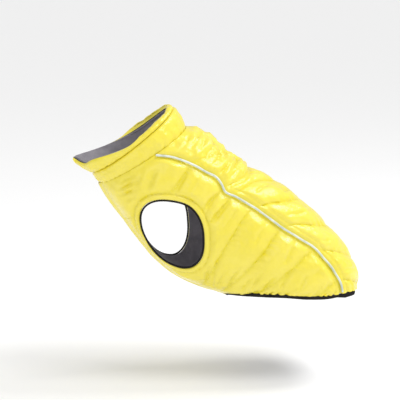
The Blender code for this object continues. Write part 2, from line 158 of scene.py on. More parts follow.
def smooth_between(knots: Array, values: Array, at: Array) -> Array:
    """The cubic curve through rows of values, its slopes taken from each knot's neighbours.

    Args:
        knots: where the values stand, rising.
        values: one value, or one row of values, to a knot.
        at: where the curve is read.

    Returns:
        The curve's values at those places.
    """
    knots, values, at = np.asarray(knots, float), np.asarray(values, float), np.asarray(at, float)
    slopes = np.gradient(values, knots, axis=0)
    right = np.clip(np.searchsorted(knots, at), 1, len(knots) - 1)
    left = right - 1
    width = knots[right] - knots[left]
    part = (at - knots[left]) / width
    if values.ndim > 1:
        width, part = width[..., None], part[..., None]
    start = values[left] * (1 + 2 * part) * (1 - part) ** 2
    end = values[right] * part**2 * (3 - 2 * part)
    bends = slopes[left] * part * (1 - part) ** 2 - slopes[right] * part**2 * (1 - part)
    return start + end + bends * width


def fade(distance: Array, band: float) -> Array:
    """0 at no distance, rising as 3t^2 - 2t^3 to 1 at the band's width."""
    part = np.clip(np.asarray(distance, float) / band, 0, 1)
    return part * part * (3 - 2 * part)


def bell(distance: Array, width: float) -> Array:
    """1 at no distance, falling as a Gaussian to 1/e at the width."""
    return np.exp(-((distance / width) ** 2))


def half_round(part: Array) -> Array:
    """Half an ellipse over a share from 0 to 1."""
    return np.sqrt(np.clip(1 - (2 * part - 1) ** 2, 0, 1))


def superellipse(turn: Array, power: Array) -> tuple[Array, Array, Array]:
    """The reach of |u|^p + |v|^p = 1 at a turn, and the turn's cosine and sine."""
    down, out = np.cos(turn), np.sin(turn)
    return (np.abs(down) ** power + np.abs(out) ** power) ** (-1 / power), down, out


def run_along(path: Array) -> Array:
    """The distance along a path to each of its points."""
    return np.concatenate([[0.0], np.cumsum(np.linalg.norm(np.diff(path, axis=0), axis=1))])


def unit(vectors: Array) -> Array:
    """The vectors at length 1."""
    return vectors / np.maximum(np.linalg.norm(vectors, axis=-1, keepdims=True), 1e-12)


class Loft:
    """Rings through a table of sections, each standing in a plane across the middle plane."""

    WIDER_ABOVE = 0.06

    def __init__(self, sections: tuple[Section, ...], inset: float) -> None:
        """Reads the table.

        Args:
            sections: the rings, from the neck seam on.
            inset: from the sections' outline in to the cloth's inner face.
        """
        self.inset = inset
        self.table = np.array(sections, float)
        self.stations = run_along((self.table[:, 0:2] + self.table[:, 2:4]) / 2)
        self.out_sign = 1.0
        self.out_sign = -float(np.sign(self.normal(self.stations[1], 90.0)[1]))

    def face(self, station: Array, angle: Array) -> Array:
        """Points of the inner face.

        A ring is a superellipse, |u|^p + |v|^p = 1, between its highest and lowest points, made a little
        wider above its middle, and bowed along the body by the square of the sine.

        Args:
            station, angle: where the points are.

        Returns:
            The points in millimetres.
        """
        station, angle = np.broadcast_arrays(np.asarray(station, float), np.asarray(angle, float))
        row = smooth_between(self.stations, self.table, station)
        top, under = row[..., 0:2], row[..., 2:4]
        half_width, power, dip = row[..., 4] - self.inset, row[..., 5], row[..., 6]
        across = top - under
        depth = np.linalg.norm(across, axis=-1)
        across = across / depth[..., None]
        forward = np.stack([-across[..., 1], across[..., 0]], -1)
        reach, down, out = superellipse(np.radians(angle), power)
        along = across * (reach * down * (depth / 2 - self.inset))[..., None]
        middle = (top + under) / 2 + along - forward * (dip * out**2)[..., None]
        sideways = -half_width * reach * out * (1 + self.WIDER_ABOVE * down)
        return np.stack([middle[..., 0], sideways, middle[..., 1]], -1)

    def around(self, station: Array, angle: Array) -> Array:
        """The way round the body, per degree."""
        return self.face(station, np.asarray(angle) + 0.5) - self.face(station, np.asarray(angle) - 0.5)

    def normal(self, station: Array, angle: Array) -> Array:
        """Unit normals that point out of the coat: the cross product of the ways round and along."""
        along = self.face(np.asarray(station) + 0.5, angle) - self.face(np.asarray(station) - 0.5, angle)
        return unit(np.cross(self.around(station, angle), along)) * self.out_sign

    def raised(self, station: Array, angle: Array, rise: Array) -> Array:
        """Points moved out from the inner face by a rise."""
        station, angle, rise = np.broadcast_arrays(station, angle, np.asarray(rise, float))
        return self.face(station, angle) + self.normal(station, angle) * rise[..., None]


BODY = Loft(BODY_SECTIONS, inset=4.5)
COLLAR = Loft(COLLAR_SECTIONS, inset=6.5)
GROOVE, RIM = COLLAR.stations[1:]
WITHERS = BODY.face(WITHERS_STATION, 0.0)


def turn_of(angle: Array) -> Array:
    """The angle from the spine, whichever side it is on."""
    angle = np.abs(angle)
    return np.minimum(angle, 360 - angle)


def read_line(line: tuple, at: Array) -> Array:
    """The smooth curve through a table of (place, value) pairs."""
    knots = np.array(line, float)
    return smooth_between(knots[:, 0], knots[:, 1], at)


def piping_angle(station: Array) -> Array:
    """The piped seam's angle from the spine."""
    return read_line(PIPING_LINE, station)


def off_seam(station: Array, angle: Array) -> Array:
    """Millimetres round the body from the piped seam, below 0 on the spine's side."""
    return (turn_of(angle) - piping_angle(station)) * ROUND_MM


def hem_height(angle: Array) -> Array:
    """The hem's height at an angle."""
    return read_line(HEM_LINE, turn_of(angle))


def hem_table() -> tuple[Array, Array]:
    """Angles round the body, and the station at which the inner face comes down to the hem."""
    angles = np.linspace(-200.0, 200.0, 401)
    trial = np.linspace(70.0, BODY.stations[-1], 160)
    levels = BODY.face(trial[:, None], angles[None, :])[..., 2]
    found = [np.interp(-h, -levels[:, i], trial) for i, h in enumerate(hem_height(angles))]
    return angles, np.array(found)


HEM_TABLE = hem_table()


def hem_station(angle: Array) -> Array:
    """The hem's station at an angle."""
    return np.interp(angle, *HEM_TABLE)


def along_hem(station: Array, angle: Array) -> Array:
    """The place on the hem, in millimetres from the spine, that a fold through a point runs down to.

    On the back a fold keeps its angle, and on the sides, where the hem slants across the rings, it
    keeps its station.

    Args:
        station, angle: where the points are.

    Returns:
        That place for each point.
    """
    turn = np.linspace(0.0, 180.0, 361)
    hem = hem_station(turn)
    length = run_along(BODY.face(hem, turn))
    falling = np.maximum.accumulate(hem[::-1] + np.arange(len(turn)) * 1e-6)
    kept_angle = np.interp(turn_of(angle), turn, length)
    kept_station = np.interp(station, falling, length[::-1])
    share = fade(turn_of(angle) - 58, 16)
    return kept_angle + (kept_station - kept_angle) * share


def quilt_curves(angle: Array) -> Array:
    """Stations of all the stitched lines at the angles, the lines first.

    Args:
        angle: angles round the body.

    Returns:
        A row of stations to each line.
    """
    knots = np.array((-QUILT_ANGLES[1], *QUILT_ANGLES))
    lines = np.array(QUILT_LINES, float)
    lines = np.concatenate([lines[:, 1:2], lines], axis=1)
    turn = np.minimum(turn_of(angle), QUILT_ANGLES[-1])
    return np.moveaxis(smooth_between(knots, lines.T, turn), -1, 0)


# ---- Uneven cloth: waves, puckers and creases ----


def ripple(seed: int, u: Array, v: Array, wave: float, count: int = 9) -> Array:
    """Soft uneven relief about 0, mostly from -1 to 1: a sum of cosines in different directions.

    Args:
        seed: picks the waves.
        u: first coordinate in millimetres.
        v: second coordinate in millimetres.
        wave: the middle wavelength.
        count: how many waves are added.

    Returns:
        The relief at each point.
    """
    picked = np.random.default_rng(seed)
    total = 0.0
    for _ in range(count):
        turn, phase = picked.uniform(0, 2 * math.pi, 2)
        step = 2 * math.pi / (wave * picked.uniform(0.65, 1.5))
        total = total + np.cos((u * math.cos(turn) + v * math.sin(turn)) * step + phase)
    return total / math.sqrt(2 * count)


def crumple(seed: int, u: Array, v: Array, wave: float) -> Array:
    """Sharp-edged dents as in pressed nylon: 1 less 1.6 times a ripple's size, at two wavelengths."""
    first, second = (1 - np.abs(ripple(seed + i, u, v, wave * w)) * 1.6 for i, w in ((0, 1.0), (1, 0.55)))
    return 0.65 * first + 0.35 * second


def puckers(seed: int, along: Array, spacing: float) -> Array:
    """Narrow troughs across a stitched line, from 0 to 1: a pinched cosine at uneven steps.

    Args:
        seed: picks the steps.
        along: the distance along the line.
        spacing: the middle distance between two puckers.

    Returns:
        The depth of the puckers at each point.
    """
    picked = np.random.default_rng(seed)
    first, second, third, fourth = picked.uniform(0, 2 * math.pi, 4)
    place = along / spacing + 0.35 * np.sin(along / (2.1 * spacing) + first)
    place = place + 0.22 * np.sin(along / (0.83 * spacing) + second)
    depth = 0.6 + 0.4 * np.sin(along / (1.7 * spacing) + third)
    return depth * (0.5 + 0.5 * np.cos(2 * math.pi * place + fourth)) ** 3


# A crease is a row: its depth (below 0 for a ridge), its half width, then station and angle of each point.
Crease = tuple[float, ...]
CREASE_DEPTH = 1.9  # what all the depths below are multiplied by

LEFT_CREASES = (
    # across the chest
    (0.9, 1.2, 4.5, 133, 5, 122.5, 6, 112),
    (1, 1.2, 8, 140, 9, 126.5, 9.8, 113),
    (1, 1.2, 12.5, 142, 13.5, 130.5, 14.8, 119),
    (0.7, 1.4, 18, 141, 18.5, 132, 19.5, 125),
    (-0.5, 1.6, 10.8, 137, 11.3, 128, 12, 119),
    # over the shoulder
    (0.8, 1.6, 11, 91.5, 16.5, 104.5, 21, 116),
    (-0.6, 2.6, 15.5, 90, 20.5, 101, 25.5, 111),
    (0.9, 1.8, 28.5, 72, 32.5, 85.5, 36.5, 97),
    (0.6, 1.4, 6, 103, 10, 112, 12.5, 120),
    (0.5, 1.6, 38, 66, 42, 78, 44, 88),
    # behind the armhole
    (0.8, 1.6, 62.5, 62, 61.5, 74.5, 66, 88),
    (-0.7, 2.6, 68, 64, 68.5, 76, 71, 90),
    (0.9, 1.6, 74.5, 63, 75, 73.5, 76, 89),
    (0.7, 1.7, 84, 66, 85, 76, 86, 88),
    (0.7, 2, 87, 94, 88, 108, 92, 124),
    # up from the hem
    (0.8, 1.4, 99, 117, 103.5, 129, 113, 147),
    (0.8, 1.5, 103, 114.5, 109, 128.5, 120, 148),
    (0.7, 1.5, 114, 115.5, 117, 128.5, 124.5, 146),
    (0.8, 1.5, 122, 110, 125, 125, 132.5, 143),
    (0.8, 1.6, 137, 114.5, 139, 126, 142, 137),
    (0.8, 1.6, 139.5, 104.5, 143, 119.5, 147.5, 132),
    (0.8, 1.7, 152.5, 101.5, 153.5, 114.5, 155.5, 125),
    (0.8, 1.7, 158.5, 88.5, 161, 102, 165, 114),
    (0.8, 1.7, 170, 80.5, 173.5, 91, 176.5, 101),
    (0.7, 1.7, 186, 74, 188, 82, 190, 90),
    # down from the piping
    (0.8, 1.9, 142, 63, 145, 76, 148.5, 88),
    (0.6, 1.8, 112, 64, 113.5, 76, 116, 86),
    (-0.6, 4, 136, 70, 138, 88, 138, 104),
    (0.6, 1.7, 173, 60, 174, 68, 175, 76),
)
RIGHT_CREASES = (
    (0.7, 1.4, 5.5, 133, 6, 124.5, 7, 116),
    (0.8, 1.4, 11, 139, 11.5, 129.5, 13, 119),
    (0.7, 1.4, 17, 140, 17.5, 133, 18.5, 124),
    (0.8, 1.7, 13, 94.5, 18.5, 106.5, 22, 117),
    (0.8, 1.8, 27.5, 74, 31, 87.5, 35, 99),
    (0.8, 1.6, 61, 64, 62.5, 76.5, 65, 89),
    (-0.7, 2.8, 68.5, 67, 69.5, 80, 71, 94),
    (0.8, 1.7, 76.5, 65, 76, 77.5, 77, 91),
    (0.7, 2, 85, 97, 88, 112, 93, 128),
    (0.8, 1.5, 101, 116, 106.5, 131, 115, 148),
    (0.8, 1.5, 112, 115.5, 117, 129.5, 125.5, 147),
    (0.8, 1.6, 126, 110, 130, 125, 135.5, 141),
    (0.8, 1.6, 140.5, 107.5, 143, 121.5, 146.5, 133),
    (0.8, 1.7, 156.5, 93.5, 158, 107, 162, 118),
    (0.8, 1.7, 172, 79.5, 174.5, 90, 177.5, 100),
    (0.8, 1.9, 144, 64, 145, 78, 147.5, 90),
    (0.6, 1.8, 113, 66, 115.5, 77, 117, 88),
)
BACK_CREASES = (
    # the fold behind the withers and the roll before it
    (1.3, 2.4, 79, -8, 77.5, 18, 74, 36, 68, 52, 64, 60),
    (1.1, 2.4, 79, 6, 77, -20, 73, -38, 67, -52, 64, -60),
    (-0.4, 5, 66, -40, 69, 0, 66, 26, 59, 46),
    # pressed together between the neck and the withers
    (0.9, 1.5, 6.5, 26, 8.5, 44.5, 11, 61.5),
    (0.9, 1.5, 12.5, 12, 15, 36.5, 16.5, 57),
    (0.8, 1.4, 20.5, 22, 22.5, 39, 23, 52),
    (0.9, 1.5, 29, 8, 31, 31, 32, 50),
    (0.8, 1.4, 39, 20, 41, 38.5, 40.5, 53.5),
    (0.8, 1.4, 44.5, 2, 46.5, 19, 46, 33),
    (0.9, 1.5, 53, 24.5, 52.5, 39.5, 51, 52),
    (0.8, 1.4, 59, 6, 60.5, 22, 59.5, 38),
    (0.8, 1.5, 64.5, 22.5, 63, 38.5, 62, 51),
    (0.8, 1.5, 8.5, -14, 10.5, -34, 12, -54),
    (0.8, 1.5, 18.5, -8, 21.5, -28, 22, -48),
    (0.8, 1.5, 33.5, -18, 35.5, -36, 35, -52),
    (0.8, 1.5, 43.5, -10, 46, -26, 45, -44),
    (0.8, 1.5, 57.5, -16, 58.5, -34, 57, -50),
    # short ones off the stitched lines
    (0.8, 1.5, 90, 46, 93, 36, 98, 26),
    (0.8, 1.5, 112, 26, 117, 15, 120, 4),
    (0.7, 1.6, 123, 50, 130, 44, 136, 34),
    (0.7, 1.6, 158, 50, 163, 44, 168, 36),
    (0.7, 1.6, 192, 50, 198, 40, 203, 30),
    (0.8, 1.5, 91, -44, 95, -34, 99, -24),
    (0.7, 1.6, 126, -48, 132, -42, 137, -32),
    (0.7, 1.6, 160, -48, 165, -42, 170, -34),
)
# by side: 0 is the back
CREASES = {0: BACK_CREASES, Side.LEFT.value: LEFT_CREASES, Side.RIGHT.value: RIGHT_CREASES}
PANELS = {0: "back_panel", Side.LEFT.value: "side_panel_left", Side.RIGHT.value: "side_panel_right"}


def smoothed(values: Array, passes: int) -> Array:
    """A grid of values blurred, by taking the mean of each value and its four neighbours over and over."""
    for _ in range(passes):
        edged = np.pad(values, 1, mode="edge")
        rows, columns = edged[:, 1:-1], edged[1:-1]
        values = (rows[1:-1] + rows[:-2] + rows[2:] + columns[:, :-2] + columns[:, 2:]) / 5
    return values


def creases_at(creases: tuple[Crease, ...], station: Array, angle: Array) -> Array:
    """The height that the creases add: for each, a bell curve of the distance to its line.

    The distance is taken in the plane of station and distance round the body, and a crease grows
    shallow towards both of its ends, with the root of the sine of the share of its length.

    Args:
        creases: the folds.
        station, angle: where the points are, the angle positive on the creases' own side.

    Returns:
        The height at each point.
    """
    place = np.stack([station, angle * ROUND_MM], -1)
    total = np.zeros(station.shape)
    for depth, width, *line in creases:
        knots = np.reshape(line, (-1, 2)) * (1.0, ROUND_MM)
        steps = np.diff(knots, axis=0)
        lengths, starts = np.linalg.norm(steps, axis=1), run_along(knots)
        nearest = np.full(station.shape, np.inf)
        share = np.zeros(station.shape)
        for knot, step, length, start in zip(knots, steps, lengths, starts):
            part = np.clip(((place - knot) @ step) / length**2, 0, 1)
            away = np.linalg.norm(place - knot - part[..., None] * step, axis=-1)
            share = np.where(away < nearest, (start + part * length) / starts[-1], share)
            nearest = np.minimum(nearest, away)
        taper = np.sqrt(np.sin(np.pi * np.clip(share, 0.002, 0.998)))
        total = total - depth * taper * bell(nearest, width)
    return CREASE_DEPTH * total


@dataclass(frozen=True)
class Armhole:
    """A squared oval on the side panel, tilted across the body, with a rolled band round it."""

    station: float = 60.5
    angle: float = 126.5
    long: float = 28.6
    wide: float = 32.0
    tilt: float = -43.0
    squareness: float = 2.4
    roll_width: float = 4.4
    roll_rise: float = 1.3

    @property
    def per_degree(self) -> float:
        """Millimetres to a degree at the armhole's middle."""
        return float(np.linalg.norm(BODY.around(self.station, self.angle)))

    def outline(self, count: int, out: float = 0.0) -> tuple[Array, Array]:
        """Stations and angles round the edge, some way outside it.

        Args:
            count: how many points.
            out: how far outside the edge.

        Returns:
            The stations and the angles.
        """
        turn = np.linspace(0, 2 * math.pi, count, endpoint=False)
        reach, long, wide = superellipse(turn, self.squareness)
        scale = 1 + out / ((self.long + self.wide) / 2)
        return self.place(self.long * reach * long * scale, self.wide * reach * wide * scale)

    def place(self, long: Array, wide: Array) -> tuple[Array, Array]:
        """Station and angle of a point given along the oval's own two axes.

        Args:
            long, wide: the distances along the axes, in mm.

        Returns:
            The stations and the angles.
        """
        tilt = math.radians(self.tilt)
        station = self.station + long * math.cos(tilt) - wide * math.sin(tilt)
        return station, self.angle + (long * math.sin(tilt) + wide * math.cos(tilt)) / self.per_degree

    def own(self, station: Array, angle: Array) -> tuple[Array, Array, Array]:
        """A point along the oval's two axes, and its size: 1 on the edge, less inside.

        Args:
            station, angle: where the points are.

        Returns:
            The two distances and the size.
        """
        tilt = math.radians(self.tilt)
        along, away = station - self.station, (turn_of(angle) - self.angle) * self.per_degree
        long = along * math.cos(tilt) + away * math.sin(tilt)
        wide = away * math.cos(tilt) - along * math.sin(tilt)
        power = self.squareness
        size = np.abs(long / self.long) ** power + np.abs(wide / self.wide) ** power
        return long, wide, size ** (1 / power)

    def distance(self, station: Array, angle: Array) -> Array:
        """Rough distance outside the edge."""
        return (self.own(station, angle)[2] - 1) * (self.long + self.wide) / 2

    def roll(self, station: Array, angle: Array) -> Array:
        """The height of the rolled band: half an ellipse across it, with a sewn dip behind.

        Args:
            station, angle: where the points are.

        Returns:
            The heights, in mm.
        """
        away = self.distance(station, angle)
        part = np.clip(away / self.roll_width, 0, 1)
        return self.roll_rise * half_round(part) - 0.45 * bell(away - self.roll_width - 0.3, 0.8)

    def snap(self, station: Array, angle: Array, margin: float) -> tuple[Array, Array, Array]:
        """Moves the points inside the hole, or nearly so, out on to its edge.

        Args:
            station, angle: where the points are, on the left side.
            margin: points this near outside the edge move to it too.

        Returns:
            The new stations and angles, and which points moved.
        """
        long, wide, size = self.own(station, angle)
        inside = size < 1 + margin / self.long
        scale = 1 / np.clip(size, 0.02, None)
        to_station, to_angle = self.place(long * scale, wide * scale)
        return np.where(inside, to_station, station), np.where(inside, to_angle, angle), inside


ARMHOLE = Armhole()


@dataclass(frozen=True)
class Padding:
    """The body cloth's height over its inner face."""

    wall: float = 1.8
    puff: float = 3.9
    full_channel: float = 27.0
    seam_band: float = 8.0
    gather: float = 1.9
    gather_step: float = 5.2
    lap: float = 9.0
    lap_rise: float = 10.0
    lowest: float = 0.9
    # one to a channel from the neck: over the spine, where the channels lie flatter, and beside it
    spine_fullness: tuple = (0.42, 0.5, 0.95, 0.5, 0.6, 0.85, 0.7, 0.6)
    flank_fullness: tuple = (0.42, 0.5, 0.85, 1.0, 1.0, 0.95, 0.7, 0.6)

    def channel(self, station: Array, angle: Array) -> tuple[Array, Array, Array]:
        """The stitched channel that each point is in: its number, the share across it, its width.

        Args:
            station, angle: where the points are.

        Returns:
            The three grids.
        """
        curves = quilt_curves(angle)
        number = np.clip((station[None] >= curves[1:-1]).sum(0), 0, len(QUILT_LINES) - 2)
        before = np.take_along_axis(curves, number[None], 0)[0]
        width = np.take_along_axis(curves, number[None] + 1, 0)[0] - before
        return number, np.clip((station - before) / width, 0, 1), width

    def lap_height(self, angle: Array, side: int) -> Array:
        """Rise of a panel's inner face, 0 but where the left front climbs over the right one."""
        rise = (self.wall + 0.3) * fade((angle - 180) * FRONT_MM + self.lap_rise, self.lap_rise)
        return rise if side > 0 else 0 * rise

    def edges(self, station: Array, angle: Array) -> Array:
        """0 at the neck, the hem and the piped seams, 1 away from them."""
        kept = fade(station, self.seam_band) * fade(hem_station(angle) - station, self.seam_band)
        return kept * fade(np.abs(off_seam(station, angle)) - 1.2, self.seam_band)

    def sewn_puckers(self, station: Array, angle: Array, side: int) -> Array:
        """The troughs that run off each stitched line: a pinched wave along it that dies away.

        Args:
            station, angle: where the points are.
            side: 1 left, -1 right, 0 back; it picks the puckers.

        Returns:
            The depth at each point.
        """
        number, part, width = self.channel(station, angle)
        along = angle * ROUND_MM
        total = np.zeros(station.shape)
        strength = 0.75 + 0.75 * fade(62 - turn_of(angle), 22)
        strength = strength * (0.8 + 0.6 * fade(85 - station, 30) * fade(60 - turn_of(angle), 15))
        for line in range(1, len(QUILT_LINES) - 1):
            trace = puckers(31 * line + 7 * side + 9, along + 0.25 * station, 6.0)
            lower = puckers(57 * line + 3 * side + 9, along - 0.3 * station, 7.5)
            before = np.where(number == line, part * width, FAR)
            after = np.where(number == line - 1, (1 - part) * width, FAR)
            total = total + trace * np.exp(-before / 6.0) + lower * np.exp(-after / 5.0)
        return total * strength

    def hem_gathers(self, station: Array, angle: Array) -> Array:
        """Folds drawn up by the elastic hem, which die away above it: narrow troughs and broad waves.

        Args:
            station, angle: where the points are.

        Returns:
            What they add to the height.
        """
        above = np.clip(BODY.face(station, angle)[..., 2] - hem_height(angle), 0, None)
        place = along_hem(station, angle) * np.sign(angle + 0.01)
        narrow = puckers(811, place, self.gather_step) * np.exp(-above / 6.0)
        broad = ripple(812, place, above * 0.25, 11.0) * np.exp(-above / 10.0)
        return self.gather * (0.35 * np.exp(-above / 6.0) - narrow) + 1.1 * broad

    def height(self, station: Array, angle: Array, side: int) -> Array:
        """The outer face's height over the inner one.

        It is the wall, plus for each channel the root-like power of a half sine across it, uneven in
        fullness, less puckers along its stitches, plus the creases, a soft ripple and the hem's waves.

        Args:
            station, angle: where the points are.
            side: 1 on the left panel, -1 on the right one and 0 on the back.

        Returns:
            The height at each point.
        """
        number, part, width = self.channel(station, angle)
        along = angle * ROUND_MM
        fullness = 0.95 + 0.2 * ripple(5 + side, station * 0.6, along, 38.0)
        fullness = fullness * np.minimum(1.0, width / self.full_channel)
        if side == 0:
            over, beside = np.array(self.spine_fullness)[number], np.array(self.flank_fullness)[number]
            fullness = fullness * (beside + (over - beside) * fade(42 - np.abs(angle), 24))
        across = np.sin(np.pi * part**1.08) ** (0.62 if side == 0 else 0.75)
        kept = self.edges(station, angle)
        body = self.puff * fullness * across * kept
        body = body - self.sewn_puckers(station, angle, side) * (0.25 + 0.75 * kept)
        body = body + creases_at(CREASES[side], station, angle if side >= 0 else -angle) * (0.2 + 0.8 * kept)
        yoke = fade(84 - station, 16) * fade(64 - turn_of(angle), 12)
        relief = 0.42 * ripple(17 + side, station, along, 17.0)
        relief = relief + 0.3 * crumple(23 + side, station, along, 12.0)
        pillows = 1.1 * ripple(43, station * 0.9, along * 0.45, 9.5)
        relief = relief + yoke * (pillows + crumple(41, station * 0.85, along * 0.45, 15.0))
        body = body + relief * (0.15 + 0.85 * kept) * (0.35 + 0.65 * across)
        if side == 0:
            body = body - self.topstitch_dip(station, angle) * fade(station - 62, 16)
        else:
            hole = ARMHOLE.distance(station, angle)
            body = body * fade(hole - ARMHOLE.roll_width + 1.0, 6.0) + ARMHOLE.roll(station, angle)
            front = (180 - turn_of(angle)) * FRONT_MM
            body = body * (0.12 + 0.88 * fade(front - 6, 34.0))
        body = body + self.hem_gathers(station, angle) * fade(178 - np.abs(angle), 8)
        body = body - 0.5 * np.exp(-station / 1.6) * (1 - 0.9 * fade(80 - np.abs(angle), 30))
        body = body - 0.7 * bell(np.abs(off_seam(station, angle)), 2.2)
        return np.maximum(self.wall + body, self.lowest)

    def topstitch_dip(self, station: Array, angle: Array) -> Array:
        """The dip of the row of stitches beside the piped seam, on the back panel."""
        return 0.75 * bell(-off_seam(station, angle) - TOPSTITCH, 0.9)

    def hollow_shade(self, station: Array, angle: Array, height: Array) -> Array:
        """How much painted shade each point takes, from 0 to 1: how deep in a stitched line or crease it
        lies.

        It is 0.4 times a spike at the stitched lines, plus 0.6 times how far the height is below its blur.

        Args:
            station, angle: where the points are.
            height: the cloth's height there.

        Returns:
            The painted shade at each point.
        """
        _, part, width = self.channel(station, angle)
        line = np.exp(-np.minimum(part, 1 - part) * width / 1.8)
        dip = smoothed(height, 36) - height
        # painted shade: darkest in the stitched lines and in troughs below the blurred height
        return np.clip(0.4 * line + 0.6 * dip, 0, 1)


PADDING = Padding()


# ---- Meshes ----


def grid_faces(rows: int, columns: int, closed: bool = False) -> Array:
    """Quads of a grid, row by row, and round to the first column where it is closed.

    Args:
        rows, columns: points each way.
        closed: whether each row joins up round.

    Returns:
        The corners of each quad.
    """
    index = np.arange(rows * columns).reshape(rows, columns)
    if closed:
        index = np.concatenate([index, index[:, :1]], axis=1)
    quads = np.stack([index[:-1, :-1], index[1:, :-1], index[1:, 1:], index[:-1, 1:]], -1)
    return quads.reshape(-1, 4)


def without_doubles(quads: Array) -> tuple[Array, Array]:
    """Splits quads into those with four corners and, where two neighbours coincide, triangles.

    Args:
        quads: the corners of each.

    Returns:
        The quads, and the triangles.
    """
    after = np.roll(quads, -1, axis=1)
    same = quads == after
    whole = quads[~same.any(1)]
    single = quads[same.sum(1) == 1]
    which = same[same.sum(1) == 1].argmax(1)
    order = (which[:, None] + 1 + np.arange(3)) % 4
    return whole, np.take_along_axis(single, order, 1)


def boundary(faces: list[Array]) -> Array:
    """Directed edges that only one face has.

    Args:
        faces: tables of faces, one to a number of corners.

    Returns:
        The two ends of each edge.
    """
    edges = np.concatenate([np.stack([f, np.roll(f, -1, 1)], -1).reshape(-1, 2) for f in faces])
    most = edges.max() + 1
    key, back = edges[:, 0] * most + edges[:, 1], edges[:, 1] * most + edges[:, 0]
    return edges[~np.isin(key, back)]


def add_mesh(name: str, points: Array, faces: list, smooth: float = 60.0) -> Thing:
    """An object with the given millimetre points, set out from the withers.

    Args:
        name: the piece's name.
        points: its points in millimetres.
        faces: its faces, turned outwards.
        smooth: edges sharper than this stay sharp.

    Returns:
        The new object.
    """
    mesh = bpy.data.meshes.new(name)
    mesh.from_pydata(((points - WITHERS) * MM).tolist(), [], faces)
    mesh.validate()
    mesh.shade_smooth()
    mesh.set_sharp_from_angle(angle=math.radians(smooth))
    thing = bpy.data.objects.new(name, mesh)
    bpy.context.scene.collection.objects.link(thing)
    return thing


def add_values(thing: Thing, name: str, values: Array) -> None:
    """Keeps one number to a vertex, for the material to read."""
    kept = thing.data.attributes.new(name, "FLOAT", "POINT")
    kept.data.foreach_set("value", np.ascontiguousarray(values, np.float32))


def add_cloth_map(thing: Thing, places: Array) -> None:
    """Keeps each corner's place on the flat cloth, in millimetres, as the UV map.

    Args:
        thing: the piece.
        places: for each vertex, in millimetres.
    """
    layer = thing.data.uv_layers.new(name="cloth")
    corners = np.empty(len(thing.data.loops), np.int32)
    thing.data.loops.foreach_get("vertex_index", corners)
    layer.data.foreach_set("uv", np.ascontiguousarray(places[corners], np.float32).ravel())


@dataclass
class ClothWall:
    """A closed wall of cloth on a grid of stations and angles, between two heights over a loft's face.

    Points that share a station and an angle are one point, faces left without an area are dropped,
    and a strip of faces joins the two sides along every edge that only one face has.
    """

    name: str
    loft: Loft
    station: Array
    angle: Array
    low: Array
    high: Array
    # how much painted shade each point of the outer face takes, read by the material
    hollow_shade: Array | float = 0.0
    dropped: Array | None = None
    turned: bool = False

    def build(self, outside: Material, inside: Material) -> Thing:
        """Makes the wall.

        Args:
            outside: finish of the outer face and the edges.
            inside: finish of the inner face.

        Returns:
            The new object.
        """
        places = np.stack([self.station, self.angle], -1).reshape(-1, 2)
        _, first, index = np.unique(np.round(places, 3), axis=0, return_index=True, return_inverse=True)
        quads = grid_faces(*self.station.shape)
        if self.dropped is not None:
            quads = quads[~self.dropped.reshape(-1)[quads].all(1)]
        quads = index.reshape(-1)[quads]
        if self.turned:
            quads = quads[:, ::-1]
        fours, threes = without_doubles(quads)
        count = len(first)
        rim = boundary([fours, threes])
        strip = np.stack([rim[:, 1], rim[:, 0], rim[:, 0] + count, rim[:, 1] + count], -1)
        inner = [fours[:, ::-1] + count, threes[:, ::-1] + count]
        faces = sum((part.tolist() for part in (fours, threes, strip, *inner)), [])
        faced = [self.loft.raised(self.station, self.angle, rise) for rise in (self.high, self.low)]
        thing = add_mesh(self.name, np.concatenate([p.reshape(-1, 3)[first] for p in faced]), faces)
        thing.data.materials.append(outside)
        thing.data.materials.append(inside)
        lining = np.zeros(len(thing.data.polygons), np.int32)
        lining[len(fours) + len(threes) + len(strip) :] = 1
        thing.data.polygons.foreach_set("material_index", lining)
        # the outer face's points take the painted shade; the inner face's points take none
        hollow_shade = np.broadcast_to(self.hollow_shade, self.station.shape).reshape(-1)[first]
        add_values(thing, "hollow_shade", np.concatenate([hollow_shade, 0 * hollow_shade]))
        add_cloth_map(thing, np.tile(places[first] * (1.0, ROUND_MM), (2, 1)))
        return thing


def tube(path: Array, radii: Array, sides: int, closed: bool) -> tuple[Array, list]:
    """A profile carried along a path.

    Each ring is a circle in the plane across the path: radius times (cos t, sin t) along two unit
    vectors square to the path, the first of them level, or nearly so.

    Args:
        path: points along the middle.
        radii: the radius at each of them.
        sides: points to a ring.
        closed: whether the last ring joins the first.

    Returns:
        The points and the faces, with a fan at each open end.
    """
    if closed:
        ahead = unit(np.roll(path, -1, 0) - np.roll(path, 1, 0))
    else:
        ahead = unit(np.gradient(path, axis=0))
    beside = unit(np.cross(ahead, (0.13, 0.21, 0.97)))
    above = np.cross(beside, ahead)
    turn = np.linspace(0, 2 * math.pi, sides, endpoint=False)
    ring = beside[:, None] * np.cos(turn)[:, None] + above[:, None] * np.sin(turn)[:, None]
    points = (path[:, None] + ring * radii[:, None, None]).reshape(-1, 3)
    count = len(path)
    index = np.arange(count * sides).reshape(count, sides)
    index = np.concatenate([index, index[:, :1]], axis=1)
    if closed:
        index = np.concatenate([index, index[:1]], axis=0)
    quads = np.stack([index[:-1, :-1], index[:-1, 1:], index[1:, 1:], index[1:, :-1]], -1)
    faces = quads.reshape(-1, 4).tolist()
    if not closed:
        faces.append(index[0, :-1][::-1].tolist())
        faces.append(index[-1, :-1].tolist())
    return points, faces


def add_cord(name: str, tubing: tuple, finish: Material, run: Array) -> Thing:
    """A cord with its finish and cloth map.

    Args:
        name: the piece's name.
        tubing: its path, its radii, the points to a ring and whether it is closed.
        finish: its material.
        run: how far along the cloth each ring is.

    Returns:
        The new object.
    """
    made = add_mesh(name, *tube(*tubing))
    made.data.materials.append(finish)
    places = np.stack(np.broadcast_arrays(run[:, None], np.arange(tubing[2])[None] * CORD_STEP), -1)
    add_cloth_map(made, places.reshape(-1, 2))
    return made


